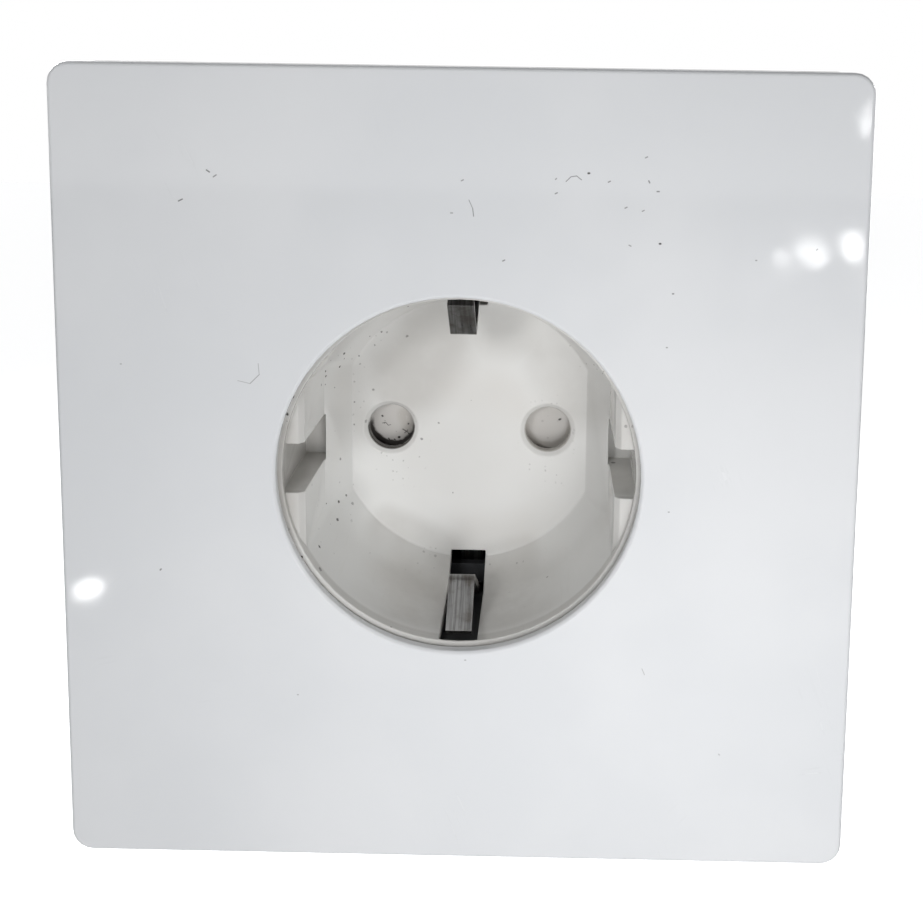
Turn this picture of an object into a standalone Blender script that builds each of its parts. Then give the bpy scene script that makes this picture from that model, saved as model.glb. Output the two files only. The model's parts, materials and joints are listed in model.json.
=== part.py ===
# Wall socket with a round recess, side earth clips and a shutter behind its two pin holes.
# Frame: +Z up, -Y to the front, the wall's surface at y = 0, the origin on the axis of the recess.
import math

import bmesh
import bpy
from mathutils import Matrix, Vector

# Clearances, in metres
GAP = 0.0003
RUNNING_GAP = 0.0005
OVERSHOOT = 0.001

# Front panel and its carrier frame
PLATE_WIDTH = 0.086
PLATE_HEIGHT = 0.088
PLATE_PROJECTION = 0.0085
PLATE_CORNER_RADIUS = 0.0023
PANEL_EDGE_RADIUS = 0.0005
PANEL_WALL = 0.0013
PANEL_SKIRT_DEPTH = 0.0022
PANEL_SKIRT_WALL = 0.0016
PANEL_HOLE_MARGIN = 0.00035
PANEL_HOLE_EDGE = 0.0003
FRAME_INSET = 0.0001
FRAME_WALL = 0.0020
FRAME_SKIRT_WALL = 0.0020
FRAME_RIB_WIDTH = 0.0014
FRAME_RIB_SETBACK = 0.0008

# Panel snap hooks
PANEL_HOOK_FROM_EDGE = 0.0065
PANEL_HOOK_HEIGHT = 0.024
PANEL_HOOK_WIDTH = 0.008
HOOK_THICKNESS = 0.0012
HOOK_BARB = 0.0010
HOOK_BARB_LENGTH = 0.0015

# Fixing screws
FIXING_SPACING = 0.0603
FIXING_SCREW_RADIUS = 0.00175
FIXING_HEAD_RADIUS = 0.0035
FIXING_HEAD_THICKNESS = 0.0019
FIXING_SCREW_LENGTH = 0.025
FIXING_SLOT_LENGTH = 0.008
FIXING_BOSS_WALL = 0.0026

# Recess of the socket cup
WELL_DEPTH = 0.0175
WELL_MOUTH_RADIUS = 0.01935
WELL_DRAFT = 0.00065
WELL_BEVEL_DEPTH = 0.0042
WELL_BEVEL_WIDTH = 0.0026
LAND_FRONT_DEPTH = 0.0023
LAND_CHAMFER = 0.0006
LAND_STAND_IN = 0.00235
LAND_NOTCH_WIDTH = 0.0055
LAND_NOTCH_RELIEF = 0.00015
LAND_NOTCH_DEPTH = 0.0160
CUP_WALL = 0.00185
CUP_FLOOR = 0.0016
CUP_BASE_THICKNESS = 0.0022
FLANGE_THICKNESS = 0.0020
FLANGE_LAP = 0.0042
FLANGE_CORNER_RADIUS = 0.0045
CUP_HOOK_HEIGHT = 0.0120
CUP_HOOK_WIDTH = 0.0040
SLOT_WIDTH = 0.0042
SLOT_FRONT_DEPTH = 0.00195
SLOT_REACH = 0.0040

# Pins of the plug and their holes
PIN_SPACING = 0.0190
PIN_RADIUS = 0.0024
PIN_LENGTH = 0.0190
PIN_TIP_ROOM = 0.0011
PIN_HOLE_MARGIN = 0.00032
PIN_HOLE_CHAMFER = 0.0006

# Shutter slider, guide and spring
SHUTTER_TRAVEL = 0.0060
SHUTTER_THICKNESS = 0.0030
SHUTTER_BRIDGE_THICKNESS = 0.0015
SHUTTER_WING_WIDTH = 0.0066
SHUTTER_TOP = 0.0042
SHUTTER_BRIDGE_HEIGHT = 0.0036
SHUTTER_FOOT = 0.0009
SHUTTER_RAMP_TOP = 0.0032
SHUTTER_RAMP_DEPTH = 0.0016
SHUTTER_RAMP_SIDE = 0.0005
GUIDE_THICKNESS = 0.0008
GUIDE_RAIL = 0.0013
GUIDE_SEAT_HEIGHT = 0.0012
GUIDE_SEAT_WIDTH = 0.0044
SPRING_LENGTH = 0.0100
SPRING_COIL_RADIUS = 0.00105
SPRING_WIRE_RADIUS = 0.00015
SPRING_TURNS = 7
SPRING_PEG_LENGTH = 0.0016

# Contact strips
STRIP_THICKNESS = 0.0006
LEAF_WIDTH = 0.0065
LEAF_SPREAD = 0.0028
LEAF_PINCH = 0.0022
LEAF_FLARE = 0.0031
LEAF_MOUTH_ROOM = 0.0016
LEAF_PINCH_FROM_MOUTH = 0.0026
LEAF_STRAIGHT_FROM_MOUTH = 0.0064
LEAF_BEND_RADIUS = 0.0012
NECK_LENGTH = 0.0040
NECK_DEPTH = 0.0032
CLIP_THICKNESS = 0.0004
CLIP_DEPTH = 0.0024

# Earth strap, its clips, its terminal bar and rivet
STRAP_THICKNESS = 0.0008
STRAP_WIDTH = 0.0029
STRAP_BEND_RADIUS = 0.0014
CLIP_REACH = 0.00505
CLIP_APEX_DEPTH = 0.0073
CLIP_TIP_REACH = 0.00065
CLIP_TIP_DEPTH = 0.0027
CLIP_FOLD_RADIUS = 0.0009
RIVET_RADIUS = 0.0010
RIVET_HEAD_RADIUS = 0.0016
RIVET_HEAD_THICKNESS = 0.0008

# Terminals
WIRE_ROOM = 0.0030
WIRE_HOLE_RADIUS = 0.00145
BAR_WIDTH = 0.0058
BAR_THICKNESS = 0.0008
BAR_TAIL_ROOM = 0.0020
CAGE_FRONT_WALL = 0.0010
CAGE_SIDE_WALL = 0.0009
CAGE_THREAD_WALL = 0.0014
CAGE_LENGTH = 0.0060
CAGE_REST_GAP = 0.0004
CAGE_EDGE_RADIUS = 0.0004
TERMINAL_SCREW_RADIUS = 0.00175
TERMINAL_HEAD_RADIUS = 0.0027
TERMINAL_HEAD_THICKNESS = 0.0017
TERMINAL_RING_WALL = 0.0010
TERMINAL_RING_DEPTH = 0.0024
TERMINAL_ACCESS_RADIUS = 0.0024
SCREW_SLOT_WIDTH = 0.0008
SCREW_SLOT_DEPTH = 0.0008
SCREW_EDGE = 0.0003

# Rear housing and its screws
HOUSING_SIDE_MARGIN = 0.0008
HOUSING_END_MARGIN = 0.0022
HOUSING_CORNER_RADIUS = 0.0080
HOUSING_WALL = 0.0016
HOUSING_BACK_WALL = 0.0020
HOUSING_EDGE = 0.0008
FRAME_OPENING_MARGIN = 0.0006
PARTITION_WALL = 0.0010
COLUMN_FROM_WALL = 0.0046
COLUMN_RADIUS = 0.0031
CUP_BOSS_DEPTH = 0.0048
CUP_BOSS_RADIUS = 0.0026
HOUSING_SCREW_RADIUS = 0.00125
HOUSING_HEAD_RADIUS = 0.0020
HOUSING_HEAD_THICKNESS = 0.0016
COLUMN_FROM_GUIDE = 0.0030

# Chambers of the rear housing behind the clips
CHAMBER_SKIN = 0.0007
CHAMBER_WALL = 0.0010
BRIDGE_HEIGHT = 0.0024
BRIDGE_THICKNESS = 0.0012

# Resolution of round shapes
BIG_ROUND = 72
SMALL_ROUND = 24
CORNER_STEPS = 5

# Depths, counted along Y from the front
front_y = -PLATE_PROJECTION
panel_back = front_y + PANEL_WALL
skirt_back = front_y + PANEL_SKIRT_DEPTH
lip_front = skirt_back + GAP
flange_front = panel_back + GAP
flange_back = flange_front + FLANGE_THICKNESS
frame_wall_front = flange_back + GAP
frame_wall_back = frame_wall_front + FRAME_WALL
floor_front = front_y + WELL_DEPTH
floor_back = floor_front + CUP_FLOOR
cup_base_front = floor_back - CUP_BASE_THICKNESS
shutter_front = floor_back + GAP
shutter_back = shutter_front + SHUTTER_THICKNESS
guide_front = shutter_back + GAP
guide_back = guide_front + GUIDE_THICKNESS
strap_front = guide_back + GAP
strap_back = strap_front + STRAP_THICKNESS
earth_bar_front = strap_back + GAP
cage_front = strap_back + RUNNING_GAP
cage_front_inner = cage_front + CAGE_FRONT_WALL
bar_front = cage_front_inner + WIRE_ROOM
bar_back = bar_front + BAR_THICKNESS
cage_back_inner = bar_back + CAGE_REST_GAP
cage_back = cage_back_inner + CAGE_THREAD_WALL
leaf_mouth = guide_back + LEAF_MOUTH_ROOM
leaf_pinch = leaf_mouth + LEAF_PINCH_FROM_MOUTH
leaf_straight = leaf_mouth + LEAF_STRAIGHT_FROM_MOUTH
contact_base_front = floor_front + PIN_LENGTH + PIN_TIP_ROOM
contact_base_back = contact_base_front + STRIP_THICKNESS
cavity_back = contact_base_back + GAP
housing_front = floor_back + GAP
housing_back = cavity_back + HOUSING_BACK_WALL
terminal_head_back = cavity_back - GAP
terminal_head_front = terminal_head_back - TERMINAL_HEAD_THICKNESS
terminal_tip = bar_back + GAP
housing_head_back = housing_back - GAP / 3
housing_head_front = housing_head_back - HOUSING_HEAD_THICKNESS
cup_boss_front = cup_base_front - CUP_BOSS_DEPTH
cup_boss_bottom = cup_boss_front + CUP_WALL

# Places across the plate
pin_x = PIN_SPACING / 2
pin_hole_radius = PIN_RADIUS + PIN_HOLE_MARGIN
panel_hole_radius = WELL_MOUTH_RADIUS + PANEL_HOLE_MARGIN
cup_outer_radius = WELL_MOUTH_RADIUS + CUP_WALL
leaf_half_width = LEAF_WIDTH / 2
clip_inner_x = LEAF_FLARE + STRIP_THICKNESS / 6
clip_x = clip_inner_x + CLIP_THICKNESS / 2
cage_inner_half_width = BAR_WIDTH / 2 + GAP
cage_half_width = cage_inner_half_width + CAGE_SIDE_WALL
partition_inner_x = cage_half_width + RUNNING_GAP
partition_outer_x = partition_inner_x + PARTITION_WALL
terminal_x = pin_x + LEAF_SPREAD
terminal_z = -(leaf_half_width + NECK_LENGTH + BAR_TAIL_ROOM + CAGE_LENGTH / 2)
shutter_half_width = pin_x + SHUTTER_WING_WIDTH / 2
guide_half_width = shutter_half_width + GAP + GUIDE_RAIL
cup_half_width = cup_outer_radius + HOUSING_SIDE_MARGIN
cup_half_height = cup_outer_radius + HOUSING_END_MARGIN
inside_half_width = guide_half_width + COLUMN_FROM_GUIDE + COLUMN_FROM_WALL
inside_half_height = CAGE_LENGTH / 2 - terminal_z + GAP + COLUMN_RADIUS + COLUMN_FROM_WALL
housing_half_width = max(cup_half_width, inside_half_width)
housing_half_height = max(cup_half_height, inside_half_height)
opening_half_width = housing_half_width + FRAME_OPENING_MARGIN
opening_half_height = housing_half_height + FRAME_OPENING_MARGIN
opening_corner = HOUSING_CORNER_RADIUS + FRAME_OPENING_MARGIN
flange_half_width = opening_half_width + FLANGE_LAP
flange_half_height = opening_half_height + FLANGE_LAP
cavity_half_width = housing_half_width - HOUSING_WALL
cavity_half_height = housing_half_height - HOUSING_WALL
strap_leg_z = cavity_half_height - GAP - STRAP_THICKNESS / 2
clip_apex_z = WELL_MOUTH_RADIUS - CLIP_REACH
clip_tip_z = WELL_MOUTH_RADIUS - CLIP_TIP_REACH
land_flat_x = WELL_MOUTH_RADIUS - LAND_STAND_IN
land_deep_x = land_flat_x - WELL_DRAFT / 3
notch_inner_x = land_deep_x - GAP / 3
notch_outer_x = WELL_MOUTH_RADIUS + LAND_NOTCH_RELIEF
slot_inner_z = WELL_MOUTH_RADIUS - SLOT_REACH
bevel_front = floor_front - WELL_BEVEL_DEPTH
bevel_slope = WELL_BEVEL_WIDTH / WELL_BEVEL_DEPTH
pocket_z = WELL_MOUTH_RADIUS + CHAMBER_SKIN
channel_half_width = SLOT_WIDTH / 2 + GAP
chamber_half_width = channel_half_width + CHAMBER_WALL
chamber_z = pocket_z + GAP
chamber_foot_z = chamber_z - (floor_back - bevel_front) * bevel_slope
bridge_outer_z = strap_leg_z - STRAP_THICKNESS / 2 - GAP
bridge_inner_z = bridge_outer_z - BRIDGE_HEIGHT
bridge_front = floor_back + 2 * GAP
bridge_back = bridge_front + BRIDGE_THICKNESS
column_x = housing_half_width - COLUMN_FROM_WALL
column_z = housing_half_height - COLUMN_FROM_WALL
fixing_x = FIXING_SPACING / 2
window_z = -SHUTTER_TRAVEL
shutter_foot_z = window_z - pin_hole_radius - SHUTTER_FOOT
guide_bottom = shutter_foot_z - GAP - GUIDE_RAIL
spring_bottom = SHUTTER_TOP + GAP
spring_top = spring_bottom + SPRING_LENGTH
guide_seat_z = spring_top + GAP
guide_top = guide_seat_z + GUIDE_SEAT_HEIGHT
spring_y = shutter_front + SHUTTER_THICKNESS / 2


def clear_scene():
    for item in list(bpy.data.objects):
        bpy.data.objects.remove(item, do_unlink=True)


def new_collection(name):
    collection = bpy.data.collections.new(name)
    bpy.context.scene.collection.children.link(collection)
    return collection


def add_object(name, data, collection):
    item = bpy.data.objects.new(name, data)
    collection.objects.link(item)
    return item


def mesh_object(name, bm, smooth=False):
    mesh = bpy.data.meshes.new(name)
    bmesh.ops.recalc_face_normals(bm, faces=bm.faces)
    bm.to_mesh(mesh)
    bm.free()
    if smooth:
        mesh.shade_smooth()
        mesh.set_sharp_from_angle(angle=math.radians(35))
    return add_object(name, mesh, parts)


def as_mesh(curve_item):
    """The curve as a closed mesh at its place in the world."""
    depsgraph = bpy.context.evaluated_depsgraph_get()
    mesh = bpy.data.meshes.new_from_object(curve_item.evaluated_get(depsgraph))
    mesh.transform(curve_item.matrix_world)
    name = curve_item.name
    curve = curve_item.data
    bpy.data.objects.remove(curve_item, do_unlink=True)
    bpy.data.curves.remove(curve)
    bm = bmesh.new()
    bm.from_mesh(mesh)
    bpy.data.meshes.remove(mesh)
    bmesh.ops.remove_doubles(bm, verts=bm.verts, dist=0.000001)
    return mesh_object(name, bm, smooth=True)


def block(name, x_span, y_span, z_span):
    """A box between two corners."""
    bm = bmesh.new()
    bmesh.ops.create_cube(bm, size=1.0)
    spans = (x_span, y_span, z_span)
    size = [high - low for low, high in spans]
    centre = [(high + low) / 2 for low, high in spans]
    bmesh.ops.scale(bm, vec=size, verts=bm.verts)
    bmesh.ops.translate(bm, vec=centre, verts=bm.verts)
    return mesh_object(name, bm)


def cone(name, front_radius, back_radius, y_span, centre=(0.0, 0.0), segments=SMALL_ROUND):
    """A cone or cylinder along Y, centred on (x, z)."""
    bm = bmesh.new()
    depth = y_span[1] - y_span[0]
    bmesh.ops.create_cone(bm, cap_ends=True, segments=segments, radius1=front_radius,
                          radius2=back_radius, depth=depth)
    bmesh.ops.rotate(bm, verts=bm.verts, matrix=Matrix.Rotation(math.radians(-90), 3, 'X'))
    bmesh.ops.translate(bm, vec=(centre[0], (y_span[0] + y_span[1]) / 2, centre[1]), verts=bm.verts)
    return mesh_object(name, bm, smooth=True)


def cylinder(name, radius, y_span, centre=(0.0, 0.0), segments=SMALL_ROUND):
    return cone(name, radius, radius, y_span, centre, segments)


def arc(centre, radius, start, end, steps):
    """Points on an arc, both ends included, angles in degrees."""
    points = []
    for step in range(steps + 1):
        angle = math.radians(start + (end - start) * step / steps)
        points.append((centre[0] + radius * math.cos(angle), centre[1] + radius * math.sin(angle)))
    return points


def rounded_rectangle(half_width, half_height, radius):
    x = half_width - radius
    z = half_height - radius
    points = []
    for turn, centre in enumerate(((x, z), (-x, z), (-x, -z), (x, -z))):
        points += arc(centre, radius, 90 * turn, 90 * turn + 90, CORNER_STEPS)
    return points


def capsule(centre, length, radius):
    """An upright slot with round ends."""
    offset = length / 2 - radius
    points = arc((centre[0], centre[1] + offset), radius, 0, 180, 2 * CORNER_STEPS)
    points += arc((centre[0], centre[1] - offset), radius, 180, 360, 2 * CORNER_STEPS)
    return points


def plate(name, outlines, y_span):
    """A flat plate across Y, from outlines in (x, z); inner outlines are holes."""
    curve = bpy.data.curves.new(name, 'CURVE')
    curve.dimensions = '2D'
    curve.fill_mode = 'BOTH'
    curve.extrude = (y_span[1] - y_span[0]) / 2
    for outline in outlines:
        spline = curve.splines.new('POLY')
        spline.points.add(len(outline) - 1)
        for point, (x, z) in zip(spline.points, outline):
            point.co = (x, z, 0.0, 1.0)
        spline.use_cyclic_u = True
    item = add_object(name, curve, parts)
    item.rotation_euler = (math.radians(90), 0.0, 0.0)
    item.location = (0.0, (y_span[0] + y_span[1]) / 2, 0.0)
    bpy.context.view_layer.update()
    return as_mesh(item)


def side_plate(name, outline, x_span):
    """A flat plate across X, from an outline in (y, z)."""
    item = plate(name, [outline], x_span)
    item.data.transform(Matrix.Rotation(math.radians(90), 4, 'Z') @ Matrix.Scale(-1, 4, (0, 1, 0)))
    item.data.flip_normals()
    return item


def round_corners(points, radius, steps=4):
    """The open path with each inner corner replaced by an arc."""
    result = [Vector(points[0])]
    for before, corner, after in zip(points, points[1:], points[2:]):
        corner = Vector(corner)
        arrive = (Vector(before) - corner).normalized()
        leave = (Vector(after) - corner).normalized()
        half_angle = arrive.angle(leave) / 2
        reach = radius / math.tan(half_angle)
        centre = corner + (arrive + leave).normalized() * radius / math.sin(half_angle)
        start = corner + arrive * reach - centre
        end = corner + leave * reach - centre
        for step in range(steps + 1):
            share = step / steps
            spoke = (start * (1 - share) + end * share).normalized() * radius
            result.append(centre + spoke)
    result.append(Vector(points[-1]))
    return result


def strip(name, path, width_axis, width_span, thickness):
    """A bent metal strip: an open surface along the path, given thickness by Solidify."""
    bm = bmesh.new()
    low = [bm.verts.new(point) for point in path]
    rail = [bm.edges.new(pair) for pair in zip(low, low[1:])]
    shift = Vector(width_axis) * width_span[0]
    bmesh.ops.translate(bm, vec=shift, verts=low)
    grown = bmesh.ops.extrude_edge_only(bm, edges=rail)
    raised = [part for part in grown['geom'] if isinstance(part, bmesh.types.BMVert)]
    bmesh.ops.translate(bm, vec=Vector(width_axis) * (width_span[1] - width_span[0]), verts=raised)
    mesh = bpy.data.meshes.new(name)
    bm.to_mesh(mesh)
    bm.free()
    item = add_object(name, mesh, parts)
    wall = item.modifiers.new('thickness', 'SOLIDIFY')
    wall.thickness = thickness
    wall.offset = 0.0
    wall.use_even_offset = True
    return item


def mirror(item, axis, centre=None):
    """Mirrors the open half across one axis, ahead of its thickness."""
    fold = item.modifiers.new('mirror', 'MIRROR')
    fold.use_axis = [axis == name for name in 'XYZ']
    fold.use_clip = True
    fold.merge_threshold = 0.00001
    if centre is not None:
        fold.mirror_object = centre
    item.modifiers.move(len(item.modifiers) - 1, 0)


def loft(name, rings):
    """A closed body through rings with the same number of points."""
    bm = bmesh.new()
    loops = [[bm.verts.new(point) for point in ring] for ring in rings]
    count = len(loops[0])
    for near, far in zip(loops, loops[1:]):
        for i in range(count):
            j = (i + 1) % count
            bm.faces.new((near[i], near[j], far[j], far[i]))
    bm.faces.new(loops[0])
    bm.faces.new(reversed(loops[-1]))
    return mesh_object(name, bm, smooth=True)


def turned(name, profile, place, segments=SMALL_ROUND):
    """A turned piece whose axis runs along Y; the profile is (radius, y) from the back to the front."""
    bm = bmesh.new()
    corners = [bm.verts.new((radius, 0.0, y)) for radius, y in profile]
    for pair in zip(corners, corners[1:]):
        bm.edges.new(pair)
    mesh = bpy.data.meshes.new(name)
    bm.to_mesh(mesh)
    bm.free()
    item = add_object(name, mesh, parts)
    lathe = item.modifiers.new('turn', 'SCREW')
    lathe.axis = 'Z'
    lathe.steps = segments
    lathe.render_steps = segments
    lathe.use_merge_vertices = True
    lathe.merge_threshold = 0.00001
    lathe.use_smooth_shade = False
    item.location = place
    item.rotation_euler = (math.radians(-90), 0.0, 0.0)
    return item


def keep_as_tool(tool):
    parts.objects.unlink(tool)
    cutters.objects.link(tool)
    tool.hide_render = True
    tool.display_type = 'WIRE'


def combine(body, tool, operation):
    step = body.modifiers.new(tool.name, 'BOOLEAN')
    step.operation = operation
    step.solver = 'EXACT'
    step.object = tool
    keep_as_tool(tool)
    place = tool.matrix_world.copy()
    tool.parent = body
    tool.matrix_parent_inverse = body.matrix_world.inverted()
    tool.matrix_world = place


def cut(body, *tools):
    for tool in tools:
        combine(body, tool, 'DIFFERENCE')


def join(body, *tools):
    for tool in tools:
        combine(body, tool, 'UNION')


def paint(item, name, colour, roughness, metallic=0.0):
    material = bpy.data.materials.get(name) or bpy.data.materials.new(name)
    material.use_nodes = True
    shader = material.node_tree.nodes['Principled BSDF']
    shader.inputs['Base Color'].default_value = (*colour, 1.0)
    shader.inputs['Roughness'].default_value = roughness
    shader.inputs['Metallic'].default_value = metallic
    item.data.materials.clear()
    item.data.materials.append(material)


def paint_white(item, name):
    paint(item, name, (0.80, 0.81, 0.82), 0.22)


def paint_steel(item, name):
    paint(item, name, (0.56, 0.56, 0.55), 0.38, 1.0)


def paint_brass(item, name):
    paint(item, name, (0.72, 0.53, 0.25), 0.35, 1.0)


def snap_hook(name, side, inner_x, z, width, root_y, catch_y, barb):
    """A springy tongue along Y with a sloped barb on its outer side."""
    tip_y = catch_y + HOOK_BARB_LENGTH
    outer_x = inner_x + HOOK_THICKNESS
    outline = [(inner_x, root_y), (outer_x, root_y), (outer_x, catch_y), (outer_x + barb, catch_y),
               (outer_x, tip_y), (inner_x, tip_y)]
    item = plate(name, [[(side * x, -y) for x, y in outline]], (z - width / 2, z + width / 2))
    item.data.transform(Matrix.Rotation(math.radians(90), 4, 'X'))
    return item


def make_front_panel():
    half_width = PLATE_WIDTH / 2
    half_height = PLATE_HEIGHT / 2
    outline = rounded_rectangle(half_width, half_height, PLATE_CORNER_RADIUS)
    panel = plate('front_panel', [outline], (front_y, skirt_back))
    bm = bmesh.new()
    bm.from_mesh(panel.data)
    front_edges = [edge for edge in bm.edges
                   if all(abs(vert.co.y - front_y) < GAP / 3 for vert in edge.verts)
                   and edge.calc_face_angle(0.0) > 1.0]
    bmesh.ops.bevel(bm, geom=front_edges, offset=PANEL_EDGE_RADIUS, segments=3, profile=0.5,
                    affect='EDGES')
    bm.to_mesh(panel.data)
    bm.free()
    inner = rounded_rectangle(half_width - PANEL_SKIRT_WALL, half_height - PANEL_SKIRT_WALL,
                              max(PLATE_CORNER_RADIUS - PANEL_SKIRT_WALL, GAP))
    cut(panel, plate('panel_hollow', [inner], (panel_back, skirt_back + OVERSHOOT)))
    cut(panel, hole_cutter('panel_hole', panel_hole_radius, PANEL_HOLE_EDGE, (front_y, panel_back),
                           (0.0, 0.0)))
    hook_x = half_width - PANEL_HOOK_FROM_EDGE
    for side in (-1, 1):
        for z in (-PANEL_HOOK_HEIGHT, PANEL_HOOK_HEIGHT):
            join(panel, snap_hook('panel_hook', side, hook_x - HOOK_THICKNESS / 2, z, PANEL_HOOK_WIDTH,
                                  panel_back - PANEL_WALL / 2, frame_wall_back + GAP, HOOK_BARB))
    paint(panel, 'panel_white_gloss', (0.80, 0.81, 0.83), 0.12)
    return panel


def make_mounting_frame():
    half_width = PLATE_WIDTH / 2 - FRAME_INSET
    half_height = PLATE_HEIGHT / 2 - FRAME_INSET
    frame = plate('mounting_frame', [rounded_rectangle(half_width, half_height, PLATE_CORNER_RADIUS)],
                  (lip_front, 0.0))
    seat = rounded_rectangle(half_width - PANEL_SKIRT_WALL, half_height - PANEL_SKIRT_WALL,
                             PLATE_CORNER_RADIUS / 2)
    cut(frame, plate('frame_front_recess', [seat], (lip_front - OVERSHOOT, frame_wall_front)))
    hollow = rounded_rectangle(half_width - FRAME_SKIRT_WALL, half_height - FRAME_SKIRT_WALL,
                               PLATE_CORNER_RADIUS / 2)
    cut(frame, plate('frame_back_hollow', [hollow], (frame_wall_back, OVERSHOOT)))
    add_frame_ribs(frame, half_width, half_height)
    opening = rounded_rectangle(opening_half_width, opening_half_height, opening_corner)
    cut(frame, plate('frame_opening', [opening], (lip_front, OVERSHOOT)))
    window_x = PLATE_WIDTH / 2 - PANEL_HOOK_FROM_EDGE
    for side in (-1, 1):
        for z in (-PANEL_HOOK_HEIGHT, PANEL_HOOK_HEIGHT):
            near = side * (window_x - HOOK_THICKNESS / 2 - GAP)
            far = side * (window_x + HOOK_THICKNESS / 2 + GAP)
            half_window = PANEL_HOOK_WIDTH / 2 + GAP
            cut(frame, block('frame_window', (min(near, far), max(near, far)),
                             (lip_front, frame_wall_back + GAP / 2), (z - half_window, z + half_window)))
        slot = capsule((side * fixing_x, 0.0), FIXING_SLOT_LENGTH, FIXING_SCREW_RADIUS + GAP)
        cut(frame, plate('fixing_slot', [slot], (lip_front, OVERSHOOT)))
    paint(frame, 'frame_dark_grey', (0.065, 0.068, 0.072), 0.45)
    return frame


def add_frame_ribs(frame, half_width, half_height):
    """Bosses round the fixing slots, a rib round the opening and ribs out to the skirt."""
    rib_back = -FRAME_RIB_SETBACK
    rib_y = (frame_wall_back - FRAME_WALL / 2, rib_back)
    inner_x = flange_half_width - FRAME_RIB_WIDTH
    inner_z = flange_half_height - FRAME_RIB_WIDTH
    ring = [rounded_rectangle(flange_half_width, flange_half_height, FLANGE_CORNER_RADIUS),
            rounded_rectangle(inner_x, inner_z, FLANGE_CORNER_RADIUS - FRAME_RIB_WIDTH)]
    join(frame, plate('frame_ring_rib', ring, rib_y))
    reach_x = half_width - FRAME_SKIRT_WALL / 2
    reach_z = half_height - FRAME_SKIRT_WALL / 2
    half_rib = FRAME_RIB_WIDTH / 2
    for side in (-1, 1):
        boss = capsule((side * fixing_x, 0.0), FIXING_SLOT_LENGTH + 2 * FIXING_BOSS_WALL,
                       FIXING_SCREW_RADIUS + FIXING_BOSS_WALL)
        join(frame, plate('fixing_boss', [boss], (frame_wall_back - FRAME_WALL / 2, 0.0)))
        for z in (-CUP_HOOK_HEIGHT, CUP_HOOK_HEIGHT):
            ends = (side * (inner_x + half_rib), side * reach_x)
            join(frame, block('frame_side_rib', (min(ends), max(ends)), rib_y,
                              (z - half_rib, z + half_rib)))
            ends = (side * (inner_z + half_rib), side * reach_z)
            join(frame, block('frame_end_rib', (z - half_rib, z + half_rib), rib_y,
                              (min(ends), max(ends))))


def make_fixing_screw(name, side):
    head_back = frame_wall_front - GAP
    head_front = head_back - FIXING_HEAD_THICKNESS
    length = FIXING_SCREW_LENGTH
    profile = [(0.0, length), (FIXING_SCREW_RADIUS * 0.55, length),
               (FIXING_SCREW_RADIUS, length - FIXING_SCREW_RADIUS), (FIXING_SCREW_RADIUS, 0.0),
               (FIXING_HEAD_RADIUS, 0.0), (FIXING_HEAD_RADIUS, -FIXING_HEAD_THICKNESS * 0.45),
               (FIXING_HEAD_RADIUS * 0.82, -FIXING_HEAD_THICKNESS * 0.85),
               (FIXING_HEAD_RADIUS * 0.45, -FIXING_HEAD_THICKNESS), (0.0, -FIXING_HEAD_THICKNESS)]
    screw = turned(name, profile, (side * fixing_x, head_back, 0.0))
    bpy.context.view_layer.update()
    half_slot = SCREW_SLOT_WIDTH / 2
    arm = FIXING_HEAD_RADIUS * 0.6
    depth = (head_front - OVERSHOOT, head_front + SCREW_SLOT_DEPTH)
    x = side * fixing_x
    cut(screw, block('fixing_cross_flat', (x - arm, x + arm), depth, (-half_slot, half_slot)),
        block('fixing_cross_upright', (x - half_slot, x + half_slot), depth, (-arm, arm)))
    paint(screw, 'screw_zinc', (0.60, 0.60, 0.57), 0.35, 1.0)
    return screw


def hole_cutter(name, radius, chamfer, y_span, centre):
    """A round cutter along Y with a chamfer round its front rim."""
    front, back = y_span
    profile = [(0.0, back + OVERSHOOT - front), (radius, back + OVERSHOOT - front), (radius, chamfer),
               (radius + chamfer + OVERSHOOT, -OVERSHOOT), (0.0, -OVERSHOOT)]
    segments = BIG_ROUND if radius > WELL_MOUTH_RADIUS / 2 else 2 * SMALL_ROUND
    tool = turned(name, profile, (centre[0], front, centre[1]), segments)
    bpy.context.view_layer.update()
    return tool


def make_well_cutter():
    bevel = WELL_DEPTH - WELL_BEVEL_DEPTH
    deep_radius = WELL_MOUTH_RADIUS - WELL_DRAFT
    profile = [(0.0, WELL_DEPTH), (deep_radius - WELL_BEVEL_WIDTH, WELL_DEPTH), (deep_radius, bevel),
               (WELL_MOUTH_RADIUS, 0.0), (0.0, 0.0)]
    well = turned('well', profile, (0.0, front_y, 0.0), BIG_ROUND)
    bpy.context.view_layer.update()
    return well


def land_section(side, y, flat_x):
    """A segment of a circle, its round side hidden in the wall of the cup."""
    radius = WELL_MOUTH_RADIUS + CUP_WALL / 2
    half_angle = math.degrees(math.acos(flat_x / radius))
    points = arc((0.0, 0.0), radius, -half_angle, half_angle, 3 * CORNER_STEPS)
    return [(side * x, y, z) for x, z in points]


def make_land(side):
    """A guide land: a flat side of the recess, lofted down to the floor."""
    land_y = front_y + LAND_FRONT_DEPTH
    floor_x = land_deep_x - WELL_BEVEL_WIDTH
    return loft('guide_land', [land_section(side, land_y, land_flat_x + LAND_CHAMFER),
                               land_section(side, land_y + LAND_CHAMFER, land_flat_x),
                               land_section(side, bevel_front, land_deep_x),
                               land_section(side, floor_front, floor_x),
                               land_section(side, floor_front + CUP_FLOOR / 2, floor_x)])


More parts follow.
